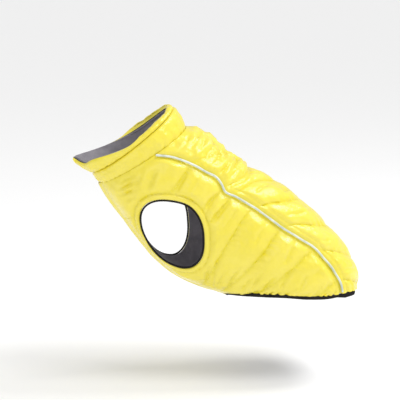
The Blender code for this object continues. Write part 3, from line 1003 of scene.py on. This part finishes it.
@dataclass(frozen=True)
class Stitching:
    """A row of sewn stitches: small capsules, sunk by half into the cloth at both ends."""

    length: float = 2.3
    gap: float = 0.9
    radius: float = 0.23
    sides: int = 6

    def capsules(self, starts: Array, ends: Array, out: Array) -> tuple[Array, Array]:
        """Capsules between two rows of points.

        Args:
            starts: where the stitches begin.
            ends: where they end.
            out: unit vectors away from the cloth.

        Returns:
            All the points and all the quads.
        """
        ahead = ends - starts
        beside = unit(np.cross(ahead, out))
        turn = np.linspace(0, 2 * math.pi, self.sides, endpoint=False)
        shares = np.array([0.0, 0.12, 0.5, 0.88, 1.0])
        sizes = np.array([0.25, 0.85, 1.0, 0.85, 0.25]) * self.radius
        sunk = np.array([-0.9, 0.1, 0.45, 0.1, -0.9]) * self.radius
        middle = starts[:, None] + ahead[:, None] * shares[None, :, None] + out[:, None] * sunk[None, :, None]
        ring = beside[:, None, None] * np.cos(turn)[:, None] + out[:, None, None] * np.sin(turn)[:, None]
        points = middle[:, :, None] + ring * sizes[None, :, None, None]
        one = grid_faces(len(shares), self.sides, closed=True)
        ends_too = np.array([[0, 1, 2, 3], [0, 3, 4, 5]])
        last = ends_too[:, ::-1] + (len(shares) - 1) * self.sides
        one = np.concatenate([one, ends_too, last])
        step = len(shares) * self.sides
        quads = one[None] + (np.arange(len(starts)) * step)[:, None, None]
        return points.reshape(-1, 3), quads.reshape(-1, 4)

    def along(self, path: Array, out: Array) -> tuple[Array, Array]:
        """Stitches at equal steps along a path.

        Args:
            path: points on the cloth.
            out: unit vectors away from it.

        Returns:
            All the points and all the quads.
        """
        run = run_along(path)
        count = max(int(run[-1] / (self.length + self.gap)), 1)
        begin = (np.arange(count) + 0.2) * (run[-1] / count)
        ends = np.minimum(begin + self.length, run[-1])
        reads = ((begin, path), (ends, path), ((begin + ends) / 2, out))
        read = [np.stack([np.interp(at, run, row) for row in rows.T], -1) for at, rows in reads]
        return self.capsules(read[0], read[1], unit(read[2]))


# ---- Finishes ----


class Value:
    """A number on a shader socket that Python's operators act on, each adding a Math node."""

    def __init__(self, shop: "Finish", socket: Socket) -> None:
        """Wraps a socket of a finish's node tree."""
        self.shop, self.socket = shop, socket

    def math(self, operation: str, *others: "Value | float") -> "Value":
        """A Math node with this value first."""
        return Value(self.shop, self.shop.node("ShaderNodeMath", {"operation": operation}, self, *others))

    def __add__(self, other: "Value | float") -> "Value":
        """self + other."""
        return self.math("ADD", other)

    def __mul__(self, other: "Value | float") -> "Value":
        """self * other."""
        return self.math("MULTIPLY", other)

    def __sub__(self, other: "Value | float") -> "Value":
        """self - other."""
        return self.math("SUBTRACT", other)

    def __rsub__(self, other: float) -> "Value":
        """other - self."""
        return self.math("MULTIPLY", -1.0).math("ADD", other)

    __radd__ = __add__
    __rmul__ = __mul__


Input = "Value | float | tuple | Socket | None"


class Finish:
    """A material and the few ways in which its nodes are made."""

    def __init__(self, name: str) -> None:
        """Starts with a Principled shader.

        Args:
            name: the material's name.
        """
        self.material = bpy.data.materials.new(name)
        self.material.use_nodes = True
        self.tree = self.material.node_tree
        self.shader = self.tree.nodes["Principled BSDF"]

    def put(self, socket: Socket, value: Input) -> None:
        """Sets a socket to a number or colour, or links it."""
        if isinstance(value, Value):
            value = value.socket
        if isinstance(value, Socket):
            self.tree.links.new(value, socket)
        else:
            socket.default_value = value

    def node(self, kind: str, settings: dict, *values: Input, out: int | str = 0) -> Socket:
        """Any node.

        Args:
            kind: its type.
            settings: its settings.
            values: for its first sockets, None to leave one.
            out: which output is wanted.

        Returns:
            That output.
        """
        made = self.tree.nodes.new(kind)
        for key, value in settings.items():
            setattr(made, key, value)
        for socket, value in zip([s for s in made.inputs if s.enabled], values):
            if value is not None:
                self.put(socket, value)
        return made.outputs[out]

    def noise(self, scale: float, detail: float = 2.0) -> Value:
        """Noise on Object coordinates, from about 0.3 to 0.7."""
        where = self.node("ShaderNodeTexCoord", {}, out="Object")
        return Value(self, self.node("ShaderNodeTexNoise", {}, where, scale, detail, 0.5))

    def ramp(self, value: Value, low: float, high: float) -> Value:
        """0 below low, 1 above high, and straight between."""
        return Value(self, self.node("ShaderNodeMapRange", {"clamp": True}, value, low, high, 0.0, 1.0))

    def mix(self, share: Input, first: Input, second: Input) -> Socket:
        """A colour between two colours.

        Args:
            share: 0 for the first, 1 for the second.
            first, second: the colours.

        Returns:
            The colour's socket.
        """
        made = self.tree.nodes.new("ShaderNodeMix")
        made.data_type = "RGBA"
        for name, value in (("Factor_Float", share), ("A_Color", first), ("B_Color", second)):
            socket = next(s for s in made.inputs if s.identifier == name)
            self.put(socket, (*value, 1.0) if isinstance(value, tuple) else value)
        return next(s for s in made.outputs if s.identifier == "Result_Color")

    def weave(self, step: float) -> Value:
        """Threads over and under, on the cloth map: the larger of two crossed bands, 0 to 1.

        Args:
            step: from one thread to the next, in millimetres.

        Returns:
            The height of the threads.
        """
        where = self.node("ShaderNodeUVMap", {"uv_map": "cloth"})
        split = self.tree.nodes.new("ShaderNodeSeparateXYZ")
        self.put(split.inputs[0], where)
        u, v = (Value(self, split.outputs[i]) * (2 * math.pi / step) for i in (0, 1))
        return u.math("SINE").math("MAXIMUM", v.math("SINE")) * 0.5 + 0.5

    def bump(self, height: Input, distance: float, before: Input = None) -> Socket:
        """A Bump node whose height is 0 to 1 over the distance in metres.

        Args:
            height: what stands out.
            distance: how far it does, in metres.
            before: a normal to add to.

        Returns:
            The normal's socket.
        """
        made = self.tree.nodes.new("ShaderNodeBump")
        made.inputs["Distance"].default_value = distance
        self.put(made.inputs["Height"], height)
        if before is not None:
            self.put(made.inputs["Normal"], before)
        return made.outputs[0]

    def set(self, **values: Input) -> None:
        """Sets or links the shader's own sockets; an underscore stands for a space."""
        for name, value in values.items():
            self.put(self.shader.inputs[name.replace("_", " ")], value)


@dataclass(frozen=True)
class PuffedNylon:
    """Satin nylon over padding: bright, softly glossy, finely woven and a little crinkled, with painted shade
    in its stitched lines and creases.
    """

    name: str = "yellow_nylon"
    bright: tuple = (0.88, 0.755, 0.09)
    deep: tuple = (0.85, 0.72, 0.05)
    # painted shade: the darker, more saturated yellow that the stitched lines and creases take
    stitched: tuple = (0.79, 0.675, 0.018)
    step: float = 0.7

    def make(self) -> Material:
        """Builds the material."""
        made = Finish(self.name)
        hollow_shade = Value(made, made.node("ShaderNodeAttribute", {"attribute_name": "hollow_shade"}, out="Fac"))
        cloud = made.ramp(made.noise(26.0, 3.0), 0.36, 0.66)
        colour = made.mix(cloud, self.deep, self.bright)
        # painted shade: the colour darkens towards that yellow where the vertex shade value is high
        colour = made.mix(hollow_shade * 0.9, colour, self.stitched)
        crinkle = made.noise(210.0, 3.0)
        fold = made.noise(75.0, 2.0)
        normal = made.bump(made.weave(self.step), 0.00004)
        normal = made.bump(crinkle, 0.0005, normal)
        normal = made.bump(fold, 0.0016, normal)
        made.set(Base_Color=colour, Roughness=made.noise(60.0) * 0.18 + 0.14, Normal=normal)
        made.set(Sheen_Weight=0.1, Sheen_Roughness=0.4, Specular_IOR_Level=0.75)
        return made.material


@dataclass(frozen=True)
class PlainCloth:
    """A plain woven or knitted cloth, such as the lining or the elastic."""

    name: str
    first: tuple
    second: tuple
    roughness: float
    step: float
    depth: float
    sheen: float = 0.2

    def make(self) -> Material:
        """Builds the material."""
        made = Finish(self.name)
        colour = made.mix(made.ramp(made.noise(90.0, 3.0), 0.35, 0.65), self.first, self.second)
        normal = made.bump(made.weave(self.step), self.depth)
        normal = made.bump(made.noise(300.0, 2.0), 0.0003, normal)
        made.set(Base_Color=colour, Roughness=made.noise(50.0) * 0.2 + (self.roughness - 0.1), Normal=normal)
        made.set(Sheen_Weight=self.sheen, Sheen_Roughness=0.5, Specular_IOR_Level=0.3)
        return made.material


@dataclass(frozen=True)
class GlassBeadTape:
    """Pale reflective tape: fine beads in a film, with faint grubby marks."""

    name: str = "reflective_tape"
    pale: tuple = (0.76, 0.81, 0.73)
    dull: tuple = (0.52, 0.59, 0.52)

    def make(self) -> Material:
        """Builds the material."""
        made = Finish(self.name)
        marks = made.ramp(made.noise(140.0, 4.0), 0.42, 0.7)
        normal = made.bump(made.weave(0.5), 0.00007)
        made.set(Base_Color=made.mix(marks, self.pale, self.dull), Normal=normal)
        made.set(Roughness=marks * 0.2 + 0.26, Coat_Weight=0.25, Coat_Roughness=0.25)
        return made.material


@dataclass(frozen=True)
class SewingThread:
    """Twisted thread."""

    name: str
    colour: tuple

    def make(self) -> Material:
        """Builds the material."""
        made = Finish(self.name)
        darker = tuple(0.8 * c for c in self.colour)
        made.set(Base_Color=made.mix(made.noise(900.0), darker, self.colour), Roughness=0.5)
        made.set(Sheen_Weight=0.2)
        return made.material


@dataclass(frozen=True)
class StudioPaper:
    """The floor."""

    name: str = "pale_paper"
    colour: tuple = (0.99, 0.99, 0.99)

    def make(self) -> Material:
        """Builds the material."""
        made = Finish(self.name)
        made.set(Base_Color=(*self.colour, 1.0), Roughness=0.85)
        return made.material


@dataclass
class Wardrobe:
    """All the coat's finishes."""

    nylon: Material
    lining: Material
    elastic: Material
    tape: Material
    thread: Material

    @classmethod
    def stocked(cls) -> "Wardrobe":
        """Makes each finish once."""
        grey = (0.19, 0.178, 0.20), (0.26, 0.245, 0.27)
        black = (0.004, 0.0035, 0.0035), (0.012, 0.01, 0.01)
        return cls(
            nylon=PuffedNylon().make(),
            lining=PlainCloth("grey_lining", *grey, 0.62, 0.8, 0.00006).make(),
            elastic=PlainCloth("black_elastic", *black, 0.8, 1.1, 0.00015, 0.0).make(),
            tape=GlassBeadTape().make(),
            thread=SewingThread("yellow_thread", (0.88, 0.75, 0.07)).make(),
        )


class Slot(Enum):
    """The record's names for the finishes."""

    CLOTH = "padded_cloth"
    LINING = "lining"
    PIPING = "piping"
    ELASTIC = "black_elastic"


def dress(thing: Thing, slot: Slot, *nodes: str) -> Thing:
    """Puts a piece on the coat's only body, in place of CAD nodes, and reports it.

    Args:
        thing: the piece.
        slot: its finish in the record; not used.
        nodes: the CAD nodes that it stands for.

    Returns:
        The same piece.
    """
    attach(thing, ROOT)
    if nodes:
        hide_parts(*nodes)
    LOG.info("%s: %d faces, for %s", thing.name, len(thing.data.polygons), ", ".join(nodes) or "nothing")
    return thing


# ---- The coat's sub-assemblies ----


@dataclass(frozen=True)
class Cut:
    """A flat cut of cloth in metres: its width, its length and, if it isn't a rectangle, its area."""

    width: float
    length: float
    area: float

    def declare(self, thing: Thing, held: str, *going: Thing) -> None:
        """Takes the piece, how it is held and what is sewn on it, and does nothing with them."""


@dataclass
class BodyPanels:
    """The back panel and the two sides that wrap round to the front, with their sewn rows."""

    wardrobe: Wardrobe
    rows: int = 26
    back_columns: int = 124
    side_columns: int = 132
    hem_margin: float = 2.5  # the stitches end this far above the hem,
    seam_margin: float = 2.0  # this far from the piped seams
    armhole_margin: float = 5.5  # and this far from the armholes
    shortest_run: int = 6
    snap_margin: float = 0.25
    stitch_depth: float = 0.08
    line_points: int = 260
    ring_points: int = 220
    back_cut: Cut = Cut(0.117, 0.237, 0.0260)
    left_cut: Cut = Cut(0.124, 0.233, 0.0179)
    right_cut: Cut = Cut(0.115, 0.233, 0.0164)

    def grid(self, columns: int, first: Callable, last: Callable) -> tuple[Array, Array]:
        """Stations and angles whose rows follow the stitched lines, cut off at the hem.

        Args:
            columns: points from one seam to the other.
            first: the first seam's angle as a function of the station.
            last: the last seam's.

        Returns:
            The stations and the angles.
        """
        over = np.linspace(0, 1, columns)[None, :]
        share = np.arange(self.rows * (len(QUILT_LINES) - 1) + 1)[:, None] / self.rows
        line = np.minimum(share.astype(int), len(QUILT_LINES) - 2)
        part = share - line
        station = np.array(QUILT_LINES)[line[:, 0], 1][:, None] + 0 * over
        for _ in range(SETTLING):
            angle = first(station[:, :1]) * (1 - over) + last(station[:, -1:]) * over
            curves = quilt_curves(angle)
            column, row = np.arange(columns)[None, :], np.arange(len(share))[:, None]
            before, after = curves[line, row, column], curves[line + 1, row, column]
            station = before + (after - before) * part
        hem = hem_station(angle)
        place = along_hem(hem, angle) * np.sign(angle + 0.01)
        return np.minimum(station, hem + (0.55 - 1.1 * puckers(811, place, PADDING.gather_step))), angle

    def wall(self, side: int, station: Array, angle: Array) -> Thing:
        """A panel's closed wall.

        Args:
            side: 1 left, -1 right, 0 back.
            station, angle: its grid, as on the left side.

        Returns:
            The new object.
        """
        dropped = None
        if side:
            station, angle, dropped = ARMHOLE.snap(station, angle, self.snap_margin)
            angle = angle * side
        height = PADDING.height(station, angle, side)
        # painted shade for the panel's stitched lines and creases
        low, hollow_shade = PADDING.lap_height(angle, side), PADDING.hollow_shade(station, angle, height)
        name = PANELS[side]
        made = ClothWall(f"{name}_cloth", BODY, station, angle, low, low + height, hollow_shade, dropped, side >= 0)
        return dress(made.build(self.wardrobe.nylon, self.wardrobe.lining), Slot.CLOTH, name)

    def build_back(self) -> Thing:
        """The back panel, between the two piped seams."""
        edges = (lambda s: -piping_angle(s) + SEAM_GAP, lambda s: piping_angle(s) - SEAM_GAP)
        return self.wall(0, *self.grid(self.back_columns, *edges))

    def build_side(self, side: Side) -> Thing:
        """A side panel, from its piped seam round to the middle of the front, and the left one past it.

        Args:
            side: which panel.

        Returns:
            The new object.
        """
        last = 180.0 + (PADDING.lap / FRONT_MM if side is Side.LEFT else 0.0)
        edges = (lambda s: piping_angle(s) + SEAM_GAP, lambda s: last + 0 * s)
        return self.wall(side.value, *self.grid(self.side_columns, *edges))

    def sewn(self, side: int, runs: list[tuple[Array, Array]]) -> Thing:
        """Stitches along lines on a panel's outer face.

        Args:
            side: 1 left, -1 right, 0 back.
            runs: the stations and the angles of each line.

        Returns:
            The new object.
        """
        points, faces, count = [], [], 0
        for station, angle in runs:
            height = PADDING.height(station, angle, side) - self.stitch_depth
            height = height + PADDING.lap_height(angle, side)
            face, out = BODY.raised(station, angle, height), BODY.normal(station, angle)
            placed, quads = Stitching().along(face, out)
            points.append(placed)
            faces.append(quads + count)
            count += len(placed)
        made = add_mesh(f"{PANELS[side]}_stitching", np.concatenate(points), np.concatenate(faces).tolist())
        made.data.materials.append(self.wardrobe.thread)
        return dress(made, Slot.CLOTH)

    def quilt_runs(self, side: int, first: float, last: float) -> list[tuple[Array, Array]]:
        """The stitched lines over a panel, cut where the hem, the seams or the armhole end them.

        Args:
            side: 1 left, -1 right, 0 back.
            first: the angle at which the lines begin.
            last: the angle at which they end.

        Returns:
            The stations and the angles of each piece of line.
        """
        runs = []
        for line in range(1, len(QUILT_LINES) - 1):
            angle = np.linspace(first, last, self.line_points)
            station = quilt_curves(angle)[line]
            away = off_seam(station, angle)
            kept = (station < hem_station(angle) - self.hem_margin) & (np.abs(away) > self.seam_margin)
            beside = (away > 0) & (ARMHOLE.distance(station, angle) > self.armhole_margin)
            kept &= beside if side else away < 0
            edges = np.flatnonzero(np.diff(np.concatenate([[0], kept.astype(int), [0]])))
            ends = zip(edges[::2], edges[1::2])
            runs += [(station[a:b], angle[a:b]) for a, b in ends if b - a > self.shortest_run]
        return runs

    def build_stitching(self) -> list[Thing]:
        """The quilting of each panel, the rows beside the piping and those round the armholes."""
        back = self.quilt_runs(0, -80.0, 80.0)
        station = np.linspace(70.0, 205.0, 270)
        angle = piping_angle(station) - TOPSTITCH / ROUND_MM
        kept = station < hem_station(angle) - self.hem_margin
        back += [(station[kept], sign * angle[kept]) for sign in (1, -1)]
        made = [self.sewn(0, back)]
        station, angle = ARMHOLE.outline(self.ring_points, ARMHOLE.roll_width - 0.2)
        ring = np.arange(len(station) + 1) % len(station)
        for side in Side:
            last = 180.0 + (PADDING.lap / FRONT_MM if side is Side.LEFT else -1.0)
            runs = self.quilt_runs(side.value, side.value * 55.0, side.value * last)
            made.append(self.sewn(side.value, [*runs, (station[ring], side.value * angle[ring])]))
        return made

    def build(self) -> None:
        panels = [self.build_back(), self.build_side(Side.LEFT), self.build_side(Side.RIGHT)]
        rows = self.build_stitching()
        for panel, row, cut in zip(panels, rows, (self.back_cut, self.left_cut, self.right_cut)):
            cut.declare(panel, "draped", row)


@dataclass
class Trims:
    """The piping on the back seams, the armhole bindings and the elastic hem."""

    wardrobe: Wardrobe
    piping_radius: float = 1.02
    piping_sides: int = 18
    piping_gap: float = 0.1
    binding_radius: float = 0.85
    binding_sides: int = 12
    binding_rise: float = 0.9
    binding_gap: float = 0.2
    binding_step: float = 0.46
    stitch_points: int = 5
    points: int = 420
    hem_columns: int = 1100
    hem_rows: int = 9
    rib: float = 1.5

    def build_piping(self, side: Side) -> Thing:
        """The cord that lies on a back seam, its radius waving a little as the seam draws it in.

        Args:
            side: the seam's side.

        Returns:
            The new object.
        """
        share = np.linspace(0.004, 0.996, self.points)
        station = share * 200
        for _ in range(SETTLING):
            station = share * hem_station(piping_angle(station))
        flat = 0 * station
        angle = side.value * (piping_angle(station) + 0.18 * ripple(3, station, flat, 16.0, 5))
        rise = PADDING.wall + self.piping_gap + self.piping_radius
        rise = rise + 0.12 * ripple(9 + side.value, station, flat, 12.0, 5)
        radii = self.piping_radius * (1 + 0.05 * ripple(4 + side.value, station, flat, 7.0, 6))
        radii[[0, -1]] *= 0.7
        tubing = BODY.raised(station, angle, rise), radii, self.piping_sides, False
        made = add_cord(f"piping_{side.word}_cord", tubing, self.wardrobe.tape, station)
        return dress(made, Slot.PIPING, f"piping_{side.word}")

    def build_armhole(self, side: Side) -> Thing:
        """The thin black edge inside an armhole, drawn in and out by its stitches.

        Args:
            side: the armhole's side.

        Returns:
            The new object.
        """
        station, angle = ARMHOLE.outline(self.points)
        angle = side.value * angle
        edge = BODY.raised(station, angle, self.binding_rise + PADDING.lap_height(angle, side.value))
        ahead = np.roll(edge, -1, 0) - np.roll(edge, 1, 0)
        inward = unit(np.cross(ahead, BODY.normal(station, angle)))
        inward = inward * np.sign(((edge.mean(0) - edge) * inward).sum(-1, keepdims=True))
        turn = np.arange(self.points)
        waves = 0.5 + 0.5 * np.cos(2 * math.pi * turn / self.stitch_points)
        radii = self.binding_radius * (0.92 + 0.10 * waves)
        path = edge + inward * (self.binding_radius + self.binding_gap)
        tubing = path, radii, self.binding_sides, True
        made = add_cord(f"armhole_{side.word}_edge", tubing, self.wardrobe.elastic, turn * self.binding_step)
        return dress(made, Slot.ELASTIC, f"armhole_binding_{side.word}")

    def build_hem(self) -> Thing:
        """The black elastic under the hem: ribs round it, its lower edge rolled."""
        angle = np.linspace(-180, 180 + PADDING.lap / FRONT_MM, self.hem_columns)[None, :]
        height, gap = (np.interp(np.abs(angle), *table) for table in (HEM_TALL, HEM_GAP))
        down = np.linspace(0, 1, self.hem_rows)[:, None]
        station = hem_station(angle) + gap + down * height
        angle = angle + 0 * down
        along = angle * ROUND_MM
        ribs = np.cos(2 * math.pi * along / self.rib + 0.8 * np.sin(along / 7))
        wave = 0.3 * ripple(77, along, 0 * along, 9.0, 6)
        round_edge = half_round(down)
        low = PADDING.lap_height(angle, Side.LEFT.value) + 0.35 * wave
        rise = np.interp(np.abs(angle), *HEM_RISE)
        outer = low + 1.1 + rise + 0.7 * round_edge + 0.22 * ribs * round_edge
        wall = ClothWall("hem_elastic", BODY, station, angle, low, outer, turned=True)
        return dress(wall.build(self.wardrobe.elastic, self.wardrobe.elastic), Slot.ELASTIC, "hem_binding")

    def build(self) -> None:
        """Builds every trim."""
        for side in Side:
            self.build_piping(side)
            self.build_armhole(side)
        self.build_hem()


@dataclass
class Collar:
    """The stand collar: two padded tiers, one behind the other, and the lining inside them."""

    wardrobe: Wardrobe
    columns: int = 430
    rows: int = 26
    lining_rows: int = 32
    lining_tall: float = 26.0
    end: float = 0.3
    rim_drop: float = 4.2
    lower_cut: Cut = Cut(0.022, 0.260, 0.0043)
    upper_cut: Cut = Cut(0.014, 0.247, 0.0027)
    lining_cut: Cut = Cut(0.033, 0.228, 0.0049)

    def grid(self, first: float, last: float, rows: int, drop: float = 0.0) -> tuple[Array, Array, Array]:
        """Stations, angles and the share of the way up, of a band of the collar.

        Args:
            first: station of its lower edge.
            last: station of its upper edge.
            rows: points up it.
            drop: how far the upper edge sags at the left front, as a bell curve of the angle.

        Returns:
            The three grids.
        """
        angle = np.linspace(-180 + self.end, 180 - self.end, self.columns)[None, :]
        up = np.linspace(0, 1, rows)[:, None]
        edge = last - drop * bell(angle - 158.0, 22.0)
        return first + (edge - first) * up, angle + 0 * up, up + 0 * angle

    def height(self, seed: int, angle: Array, up: Array, wall: float, bulge: float, tall: float) -> Array:
        """The tier's outer face: a wall and a half sine up it, puckered at both seams and rolled over.

        Args:
            seed: picks the puckers.
            angle: angles of the points.
            up: the share of the way up.
            wall: thickness at the seams.
            bulge: what the padding adds.
            tall: the tier's height, for the puckers' reach.

        Returns:
            The height at each point.
        """
        along = angle * COLLAR_MM
        nape = fade(70 - np.abs(angle), 45)
        full = (1 + 0.2 * ripple(seed, along, up * tall, 24.0)) * (1 - 0.35 * nape)
        wall = wall * (1 - 0.1 * nape)
        body = wall + bulge * full * np.sin(np.pi * up) ** 0.6
        low = puckers(seed + 1, along + 0.4 * up * tall, 6.5) * np.exp(-up * tall / 3.4)
        high = puckers(seed + 2, along - 0.5 * up * tall, 7.5) * np.exp(-(1 - up) * tall / 3.0)
        relief = 0.22 * ripple(seed + 3, along, up * tall, 9.0)
        relief = relief + 0.14 * crumple(seed + 5, along, up * tall, 8.0)
        body = body - 0.9 * low - 0.7 * high + 1.5 * relief * np.sin(np.pi * up)
        lip = np.clip((up - 0.86) / 0.14, 0, 1)
        return np.maximum(body * (0.35 + 0.65 * np.sqrt(1 - lip**2)), 0.5)

    def tier(self, name: str, ends: tuple, wall: float, bulge: float, seed: int, drop: float) -> Thing:
        """A tier's closed wall.

        Args:
            name: the CAD node that it dresses.
            ends: the stations of its two edges.
            wall: thickness at the seams.
            bulge: what the padding adds.
            seed: picks the puckers.
            drop: how far its upper edge sags at the left front.

        Returns:
            The new object.
        """
        first, last = ends
        station, angle, up = self.grid(first, last, self.rows, drop)
        height = self.height(seed, angle, up, wall, bulge, last - first)
        # painted shade along the tier's lower seam and in its dips
        dip = smoothed(height, 30) - height
        hollow_shade = 0.8 * np.clip(0.7 * np.exp(-up * (last - first) / 1.5) + 0.9 * dip, 0, 1)
        made = ClothWall(f"{name}_cloth", COLLAR, station, angle, 0 * height, height, hollow_shade)
        return dress(made.build(self.wardrobe.nylon, self.wardrobe.lining), Slot.CLOTH, name)

    def build_lining(self) -> Thing:
        """The lining inside both tiers: a thin wall with soft creases, ending just below the rim."""
        station, angle, up = self.grid(0.3, RIM - 0.5, self.lining_rows, self.rim_drop)
        wave = 0.12 * ripple(61, angle * COLLAR_MM, up * self.lining_tall, 10.0)
        made = ClothWall("collar_lining_cloth", COLLAR, station, angle, -1.8 + wave, -0.8 + 0.3 * wave)
        return dress(made.build(self.wardrobe.lining, self.wardrobe.lining), Slot.LINING, "collar_lining")

    def build(self) -> None:
        lower = self.tier("collar_lower", (0.1, GROOVE - 0.2), 2.8, 1.7, 101, 0.0)
        upper = self.tier("collar_upper", (GROOVE, RIM), 1.8, 1.9, 202, self.rim_drop)
        self.lower_cut.declare(lower, "gathered")
        self.upper_cut.declare(upper, "gathered")
        self.lining_cut.declare(self.build_lining(), "stretched")


# ---- The studio ----


class LampKind(Enum):
    """Blender's names for the two kinds of light used here."""

    SOFTBOX = "AREA"
    SKYLIGHT = "SUN"


@dataclass(frozen=True)
class Lamp:
    """A soft light that looks at the coat; its size is metres, or degrees for a skylight."""

    name: str
    kind: LampKind
    place: tuple
    size: float
    power: float
    target: tuple = (0.02, 0.0, -0.06)

    def hang(self) -> None:
        """Puts the light in the scene."""
        light = bpy.data.lights.new(self.name, self.kind.value)
        light.energy = self.power
        if self.kind is LampKind.SOFTBOX:
            light.size = self.size
        else:
            light.angle = math.radians(self.size)
        thing = bpy.data.objects.new(self.name, light)
        thing.location = self.place
        aim = Vector(self.target) - thing.location
        thing.rotation_euler = aim.to_track_quat("-Z", "Y").to_euler()
        bpy.context.scene.collection.objects.link(thing)


@dataclass(frozen=True)
class Studio:
    """A pale floor, soft light and the camera."""

    lens: float = 132.95
    distance: float = 1.3
    target: tuple = (-0.00464, -0.00981, -0.05609)
    back: tuple = (-0.15406, -0.97269, 0.17365)
    floor_height: float = -0.22
    floor_size: float = 80.0
    world: float = 0.64
    lamps: tuple = (
        Lamp("skylight", LampKind.SKYLIGHT, (0.9, -0.75, 1.5), 22.0, 1.0),
        Lamp("fill", LampKind.SOFTBOX, (-0.9, -1.3, 0.5), 1.0, 3.7),
        Lamp("rim", LampKind.SOFTBOX, (0.75, 0.0, 0.95), 0.4, 6.0),
    )

    def build_floor(self) -> None:
        """A wide flat floor that isn't part of the coat."""
        half, level = self.floor_size / 2, self.floor_height
        corners = [(-half, -half, level), (half, -half, level), (half, half, level), (-half, half, level)]
        mesh = bpy.data.meshes.new("floor")
        mesh.from_pydata(corners, [], [(0, 1, 2, 3)])
        mesh.materials.append(StudioPaper().make())
        floor = bpy.data.objects.new("floor", mesh)
        bpy.context.scene.collection.objects.link(floor)

    def build_world(self) -> None:
        """An even white sky."""
        world = bpy.data.worlds.new("studio")
        world.use_nodes = True
        world.node_tree.nodes["Background"].inputs[0].default_value = (1.0, 1.0, 1.0, 1.0)
        world.node_tree.nodes["Background"].inputs[1].default_value = self.world
        bpy.context.scene.world = world
        bpy.context.scene.view_settings.view_transform = "Standard"

    def build_camera(self) -> None:
        """The camera at the photograph's viewing angle."""
        camera = bpy.data.cameras.new("camera")
        camera.lens, camera.sensor_width = self.lens, 36.0
        thing = bpy.data.objects.new("camera", camera)
        back = Vector(self.back)
        thing.location = Vector(self.target) + back * self.distance
        thing.rotation_euler = back.to_track_quat("Z", "Y").to_euler()
        bpy.context.scene.collection.objects.link(thing)
        bpy.context.scene.camera = thing

    def build(self) -> None:
        """Builds the studio."""
        self.build_floor()
        self.build_world()
        self.build_camera()
        for lamp in self.lamps:
            lamp.hang()


def main() -> None:
    """Builds the studio, then the coat piece by piece."""
    logging.basicConfig(level=logging.INFO, format="%(name)s: %(message)s")
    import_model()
    Studio().build()
    wardrobe = Wardrobe.stocked()
    BodyPanels(wardrobe).build()
    Collar(wardrobe).build()
    Trims(wardrobe).build()


if __name__ == "__main__":
    main()
